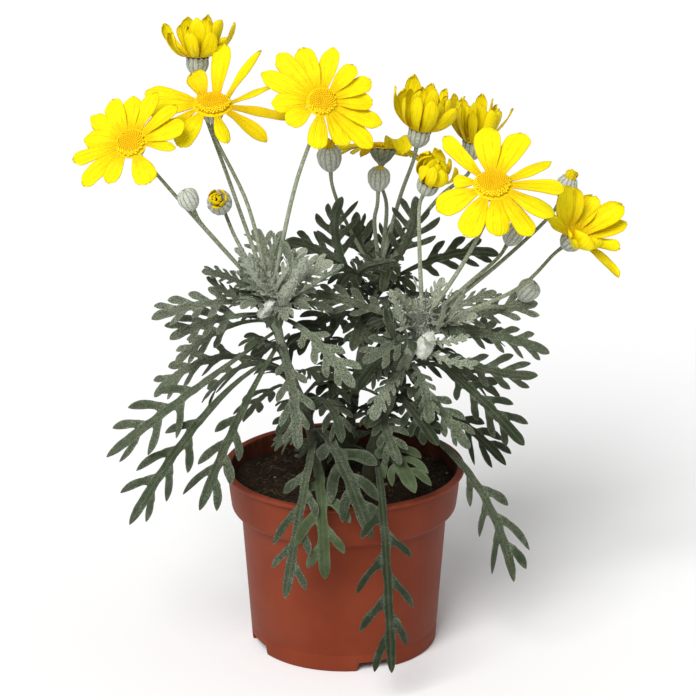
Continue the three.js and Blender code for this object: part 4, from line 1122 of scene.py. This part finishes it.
def makeDisc(name, head, axes, rng):
    # A low dome of crowded florets: closed ones, and at its lower edge open ones with brown styles
    r, base = head["disc"] * 0.93, discForm["base"]

    def dome(share):
        bump = 0.36 - 0.1 * math.exp(-(share / 0.3) ** 2)
        return base - 0.5 + r * (bump - 0.22 * share ** 4)

    growth = Growth()
    profile = [(0.45, base), (0.96, base + 0.1)]
    profile += [(share, dome(share) - 0.2) for share in (0.95, 0.8, 0.6, 0.4, 0.2, 0.04)]
    rows = [ring(r * share, circle(36), z) for share, z in profile]
    growth.add(axes.place(np.concatenate(rows)), barrelFaces(len(rows), 36), (0, 0.5, 0.2, 0))
    count = int(0.95 * (r / discForm["spacing"]) ** 2 * math.pi)
    for k in range(count):
        share = math.sqrt((k + 0.5) / count) * 0.97
        turn = goldenTurn * k
        centre = np.array([*around(r * share, turn), dome(share) - 0.5])
        lean = unit([*around(0.55 * share ** 3, turn), 1])
        isOpen = share - 0.14 * math.sin(turn) > 0.86
        size = discForm["floret"] * (0.85 + 0.3 * share) * rng.uniform(0.92, 1.06)
        tall = (1.25 if isOpen else 0.8) * rng.uniform(0.92, 1.08)
        side = unit(np.cross(lean, [0.3, 1, 0.1]))
        angles = circle(6)[:, None] + rng.random()
        rim = np.cos(angles) * side + np.sin(angles) * np.cross(lean, side)
        shape = discForm["open" if isOpen else "closed"]
        body = np.concatenate([centre + lean * tall * up + size * wide * rim for wide, up in shape])
        look = (1 if isOpen else 0.2, np.repeat([0.2, 0.7, 1, 1], 6), rng.random(), 0)
        growth.add(axes.place(body), gridFaces(4, 6, True) + [tuple(range(18, 24))], look)
        if isOpen and rng.random() < 0.5:
            stub = [centre + lean * up for up in (tall * 0.9, tall + 0.4, tall + 0.7)]
            body, faces = tube(stub, [0.12, 0.16, 0.13], 5)
            growth.add(axes.place(body), faces, (1, 1, 0.5, 0.8 if rng.random() < 0.4 else 0))
    growth.piece(name + "_florets", [discMaterial], "disc_gold", name + "_disc")


tuftForm = {"outer": 8, "inner": 5, "rows": 9, "columns": 5, "thick": 0.15}


def makeTuft(name, head, rng):
    # Short folded rays that push out of the mouth of a breaking bud, each its own way
    f, axes, growth = tuftForm, HeadAxes(head), Growth()
    size, tuft = (head[key] * head.get("closed", 1) for key in ("bud", "tuft"))
    ragged = head.get("ragged", 1)
    v = np.repeat(np.linspace(0, 1, f["rows"]), f["columns"])
    u = np.tile(np.linspace(-1, 1, f["columns"]), f["rows"])
    grid = [face[::-1] for face in gridFaces(f["rows"], f["columns"])]
    for k in range(f["outer"] + f["inner"]):
        inside = k >= f["outer"]
        share = (k - f["outer"]) / f["inner"] if inside else k / f["outer"]
        turn = 2 * math.pi * share + rng.uniform(-0.2, 0.2) + (0.4 if inside else 0)
        rise = tuft * rng.uniform(0.72, 1.0) + size * (0.16 if inside else 0.1)
        lean = ragged * (rng.uniform(-0.1, 0.25) if inside else rng.uniform(-0.35, 0.45))
        bow = -rng.uniform(0.3, 0.9) / ragged
        half = size * rng.uniform(0.13, 0.18) * (0.25 + 0.75 * ragged) * rayWidths(v, 0.4)
        out = size * (0.1 if inside else 0.27) + rise * (lean * v + bow * v ** 2 * 0.4)
        high = head["bud"] * 0.34 + rise * np.sin(v * 1.3) / math.sin(1.3)
        normal = unit(np.stack([0 * v, 1 + 0 * v, 0.35 - lean + 1.2 * v ** 2], axis=1))
        fold = 0.4 * half * (1 - u ** 2) * rng.uniform(0.5, 1.6)
        points = np.stack([u * half + rise * rng.uniform(-0.2, 0.2) * v ** 2, out, high], axis=1)
        # Their alpha turns them orange: a random tint and the head's painted shade
        addPetal(growth, axes, points + normal * fold[:, None], normal, turn, f["thick"], grid, (
            0.15 + 0.6 * v, np.abs(u), 0.2, 0.04 + 0.3 * rng.random() + head.get("warmth", 0)))
    growth.piece(name + "_folded_rays", [rayMaterial], "ray_yellow", name + "_tuft", sharp=60)


# Leaves that are still small stand round the end of each stem: older ones low and outward, younger
# ones erect. The pairs go from the oldest to the youngest. "wool" counts hairs, and "filling" the
# small dark leaves further down
youngForm = {
    "left": {"count": 30, "long": (27, 13), "rises": (8, 80), "youth": (0.46, 1.0), "broad": 1.1,
             "from": 0.9, "wool": 560, "filling": 15},
    # The centre stem's young leaves get little felt: painted shade at the back of the plant
    "centre": {"count": 16, "long": (24, 14), "rises": (0, 70), "youth": (0.08, 0.3), "broad": 1.1,
               "from": 0.8, "wool": 60, "filling": 16},
    "right": {"count": 34, "long": (24, 11), "rises": (4, 78), "youth": (0.48, 1.0), "broad": 0.74,
              "from": 0.88, "wool": 560, "filling": 17},
}

# Young leaves that stand out: the ends and middle of the rib, teeth and their reach, width and turn
youngLeaves = {
    "left": [
        ((-29, -33, 188), (-12, -38, 200), (0, -40, 209), 9, 2.8, 0.75, -55),
        ((-37, -31, 184), (-52, -38, 192), (-65, -41, 203), 9, 3.2, 0.8, 50),
        ((-34, -31, 186), (-43, -33, 196), (-50, -33, 209), 9, 3.0, 0.9, 50),
        ((-30, -31, 187), (-25, -36, 202), (-29, -34, 219), 11, 4.2, 1.5, -70),
    ],
    "right": [
        ((31, -31, 168), (27, -36, 182), (22, -38, 196), 13, 2.2, 0.6, -55),
        ((29, -31, 165), (23, -38, 175), (19, -40, 187), 9, 4.0, 1.4, 65),
        ((38, -32, 168), (46, -38, 178), (48, -40, 191), 9, 2.4, 0.8, 60),
        ((38, -33, 167), (50, -42, 171), (60, -45, 175), 9, 2.4, 0.6, 60),
        ((36, -33, 166), (50, -44, 162), (64, -50, 163), 9, 2.8, 0.8, 60),
        ((38, -31, 168), (50, -38, 182), (58, -40, 197), 9, 2.4, 0.7, 50),
        ((33, -26, 155), (39, -42, 146), (41, -52, 133), 9, 4.0, 1.4, 10),
        ((30, -24, 151), (21, -38, 146), (14, -48, 133), 9, 4.0, 1.4, 10),
    ],
}

# Woolly buds of leaves that are still folded together: low end, high end, radius, whiteness
foldedLeaves = {
    "left": [((-30, -36, 187), (-22, -40, 202), 3.1, 0.66), ((-23, -36, 200), (-17, -37, 211), 3.7, 0.66),
             ((-36, -31, 180), (-33, -33, 188), 2.8, 0.8), ((-40, -32, 180), (-33, -35, 188), 2.8, 1.0)],
    "right": [((37, -39, 162), (43, -41, 175), 4.0, 1.0), ((31, -33, 162), (32, -34, 169), 2.2, 0.8)],
}


def addFolded(growth, low, high, radius, youth, rng):
    # Leaves that are pressed together in a spindle, with their edges as faint ridges
    low, high = np.array(low, float), np.array(high, float)
    share = np.linspace(0, 1, 16)
    radii = radius * np.interp(share, (0, 0.15, 0.45, 0.75, 0.92, 1), (0.5, 0.85, 1, 0.82, 0.45, 0.12))
    aside = unit(np.cross(high - low, [0.2, 1, 0.3])) * 0.25 * radius
    places = mixed(low, high, share[:, None]) + aside * np.sin(2.6 * share)[:, None]
    body, faces = tube(places, radii, 26, 0.1, 4)
    body = np.array([p + 0.35 * np.array(lumps.noise_vector(Vector(p) * 0.5)) for p in body])
    growth.add(body, faces, (youth, 0, 0.3, 0), int(youth > 0.9))
    for _ in range(150):
        spot = body[rng.randrange(len(body))]
        away = unit(spot - mixed(low, high, rng.random()))
        addHair(growth, spot - away * 0.2, away, rng.uniform(0.8, 2.0), rng)


def addHair(growth, start, direction, long, rng):
    bend = unit(np.cross(direction, [rng.gauss(0, 1), rng.gauss(0, 1), rng.gauss(0, 1)]))
    places = [start + long * (direction * t * 0.7 + bend * 0.6 * t * t) for t in np.linspace(0, 1, 4)]
    growth.add(*tube(places, [0.12, 0.11, 0.08, 0.04], 3), (1.0, 0, 0.2, 0), 1)


def addWool(growth, curve, count, rng):
    # Cobweb felt in the heart of a shoot
    tip = curve.at(1.0)
    ahead = unit(tip - curve.at(0.96))
    for _ in range(count):
        direction = unit([rng.gauss(0, 1), rng.gauss(0, 1), rng.gauss(0.3, 0.8)])
        start = tip + direction * rng.uniform(1, 4.5) + ahead * rng.uniform(-12, 5)
        addHair(growth, start, direction, rng.uniform(2, 6), rng)


def addYoungLeaf(growth, root, over, tip, teeth, reach, broad, face, youth, rng):
    rib = Rib(root, over, tip, face)
    growth.add(*cutLeaf(rib, "young", teeth, reach, rng, youth, broad * min(1, rib.length / 22)))


def arch(root, turn, rise, long, lift, sag):
    # The ends and the middle of the rib of a small leaf
    ahead = long * np.array([*around(math.cos(rise), turn), math.sin(rise)])
    return root, root + 0.55 * ahead + [0, 0, lift * long], root + ahead - [0, 0, sag * long]


def addRosette(growth, name, curve, rng):
    f = youngForm[name]
    for k in range(f["count"]):
        share = k / (f["count"] - 1)
        turn = goldenTurn * k + rng.uniform(-0.25, 0.25)
        rise = math.radians(mixed(*f["rises"], share) + rng.uniform(-9, 9))
        long = mixed(*f["long"], share) * rng.uniform(0.82, 1.15)
        line = arch(curve.at(mixed(f["from"], 1, share)), turn, rise, long, 0.1, 0.12 * (1 - share))
        addYoungLeaf(growth, *line, 2 * round(long / 5) + 1, 0.13 * long + 0.4, f["broad"],
                     rng.uniform(-25, 25), mixed(*f["youth"], share), rng)
    for row in youngLeaves.get(name, []):
        addYoungLeaf(growth, *row, 0.4, rng)


def addFilling(growth, name, curve, rng):
    # Small leaves along the stem, where it is in the shade of the others. Their dark, nearly bare look is
    # painted shade
    count = youngForm[name]["filling"]
    for k in range(count):
        share = (k + 0.5) / count
        root = curve.at(mixed(0.16, 0.92, share))
        rise = math.radians(mixed(8, 30, share) + rng.uniform(-12, 12))
        line = arch(root, goldenTurn * k + 1.1, rise, rng.uniform(22, 30), 0.14, 0.2)
        growth.add(*cutLeaf(Rib(*line, rng.uniform(-20, 20)), "broad", 5, 6, rng, 0.1, 0.85))


def addLeaflets(growth, head, curve, rng):
    # Narrow leaflets that cling to the woolly foot of a stalk
    foot = curve.at(head["from"])
    along = unit(np.array(head["via"]) - foot)
    for k in range(4):
        turn = 2.4 * k + rng.uniform(0, 1)
        away = unit(np.cross(along, [*around(1, turn), 0.2]))
        root = foot + along * (2 + 4.5 * k)
        tip = root + along * rng.uniform(6, 10) + away * rng.uniform(2.5, 4.5)
        over = root + along * 3 + away * 1.8
        addYoungLeaf(growth, root, over, tip, 5, 1.2, 0.8, rng.uniform(-40, 40), 0.8, rng)


def leafYouth(name, kind, at, tip):
    # From 0.04, dark and nearly bare, to 1, white with felt. A leaf of 0 is fresh green
    # The centre stem's leaves stand at the back, in the shade of the others: they are kept dark as painted
    # shade, those at its top a little less
    if name == "centre":
        return 0.24 if tip[2] > 205 else 0.04
    low = (0.14 if kind == "lax" else 0.29) * (0.45 if name == "right" else 1)
    return mixed(low, 0.7, np.clip((at - 0.86) / 0.14, 0, 1))


def makeLeafyStem(name, stem, rng):
    growth, curve = Growth(), StemPath(stem["path"])
    steps, sides = 40, 16
    share = np.linspace(0, 1, steps + 1)
    radii = mixed(*stem["radii"], share) * (1 + 0.08 * np.sin(share * 60))
    body, faces = tube(curve.even(steps), radii, sides, 0.05, 4)
    young, woody = (np.repeat(part, sides) for part in (share * 0.9, np.clip(1.5 - 1.8 * share, 0, 0.95)))
    growth.add(body, faces, (young, woody, 0.2, 0), 1)
    for kind, rows in leaves[name].items():
        for at, over, tip, lobes, lobe, face, *own in rows:
            rib = Rib(curve.at(at), over, tip, face)
            look = {"youth": leafYouth(name, kind, at, tip)}
            look.update(*own)
            if at > 0.965 and name != "centre":  # round a crown they are cut as fine as the young ones
                leaf = cutLeaf(rib, "young", 2 * lobes - 1, 0.62 * lobe, rng, look["youth"], lobe / 5.5)
            else:
                leaf = cutLeaf(rib, kind, lobes, lobe, rng, **look)
            growth.add(*leaf)
    grown = [head for head in heads.values() if head["stem"] == name]
    for head in grown:
        addStalk(growth, head, curve)
        addCup(growth, head, rng)
    coats = [leafMaterial, stalkMaterial]
    growth.piece("leafy_shoot_" + name, coats, "felted_leaf", "leafy_stem_" + name, sharp=70)

    young = Growth()
    addRosette(young, name, curve, rng)
    addFilling(young, name, curve, rng)
    for row in foldedLeaves.get(name, []):
        addFolded(young, *row, rng)
    for head in grown if name != "centre" else []:
        addLeaflets(young, head, curve, rng)
    addWool(young, curve, youngForm[name]["wool"], rng)
    young.piece("young_leaves_" + name, coats, "felted_leaf", sharp=70)


seeds = random.Random(2027)
for name, stem in stems.items():
    makeLeafyStem(name, stem, random.Random(seeds.random()))
print("leafy stems done")
for name, head in heads.items():
    rng = random.Random(seeds.random())
    if "rays" in head:
        makeBloom(name, head, rng)
    elif "tuft" in head:
        makeTuft(name, head, rng)
print("heads done")


# The studio

studio = {
    "eye": (2.0, -1500.0, 676.0), "down": 19.22, "lens": 36 * 3236 / 696, "sky": 0.42, "sun": 3.3,
    "sunSoftness": 32, "sunTurn": (48, 0, -22), "floorHalf": 6,
    "paper": (0.93, 0.93, 0.93, 1), "fleck": (0.86, 0.86, 0.86, 1),
}


def makeStudio():
    s, side = studio, studio["floorHalf"]
    corners = [(-side, -side, 0), (side, -side, 0), (side, side, 0), (-side, side, 0)]
    sheet = bpy.data.meshes.new("floor")
    sheet.from_pydata(corners, [], [(0, 1, 2, 3)])
    paper = Coat("floor_paper", {"Specular IOR Level": 0.1})
    grain = paper.noise(3)
    color = paper.mix(grain * 0.06, s["paper"], s["fleck"])
    sheet.materials.append(paper.finish(color, 0.88 + 0.04 * grain))
    placed("floor", sheet)

    world = bpy.data.worlds.new("studio")
    bpy.context.scene.world = world
    world.use_nodes = True
    sky = next(n for n in world.node_tree.nodes if n.type == "BACKGROUND")
    sky.inputs["Color"].default_value = (1, 1, 1, 1)
    sky.inputs["Strength"].default_value = s["sky"]

    lamp = bpy.data.lights.new("soft_sun", "SUN")
    lamp.energy = s["sun"]
    lamp.angle = math.radians(s["sunSoftness"])
    holder = placed("soft_sun", lamp)
    holder.location = Vector(potAxis) + Vector((-1, -1, 2))
    holder.rotation_euler = [math.radians(angle) for angle in s["sunTurn"]]

    camera = bpy.data.cameras.new("camera")
    camera.lens = s["lens"]
    camera.sensor_width = 36
    camera.clip_end = 30
    eye = placed("camera", camera)
    eye.location = Vector(potAxis) + Vector(s["eye"]) / 1000
    eye.rotation_euler = (math.radians(90 - s["down"]), 0, 0)
    bpy.context.scene.camera = eye
    bpy.context.scene.view_settings.view_transform = "Standard"


makeStudio()
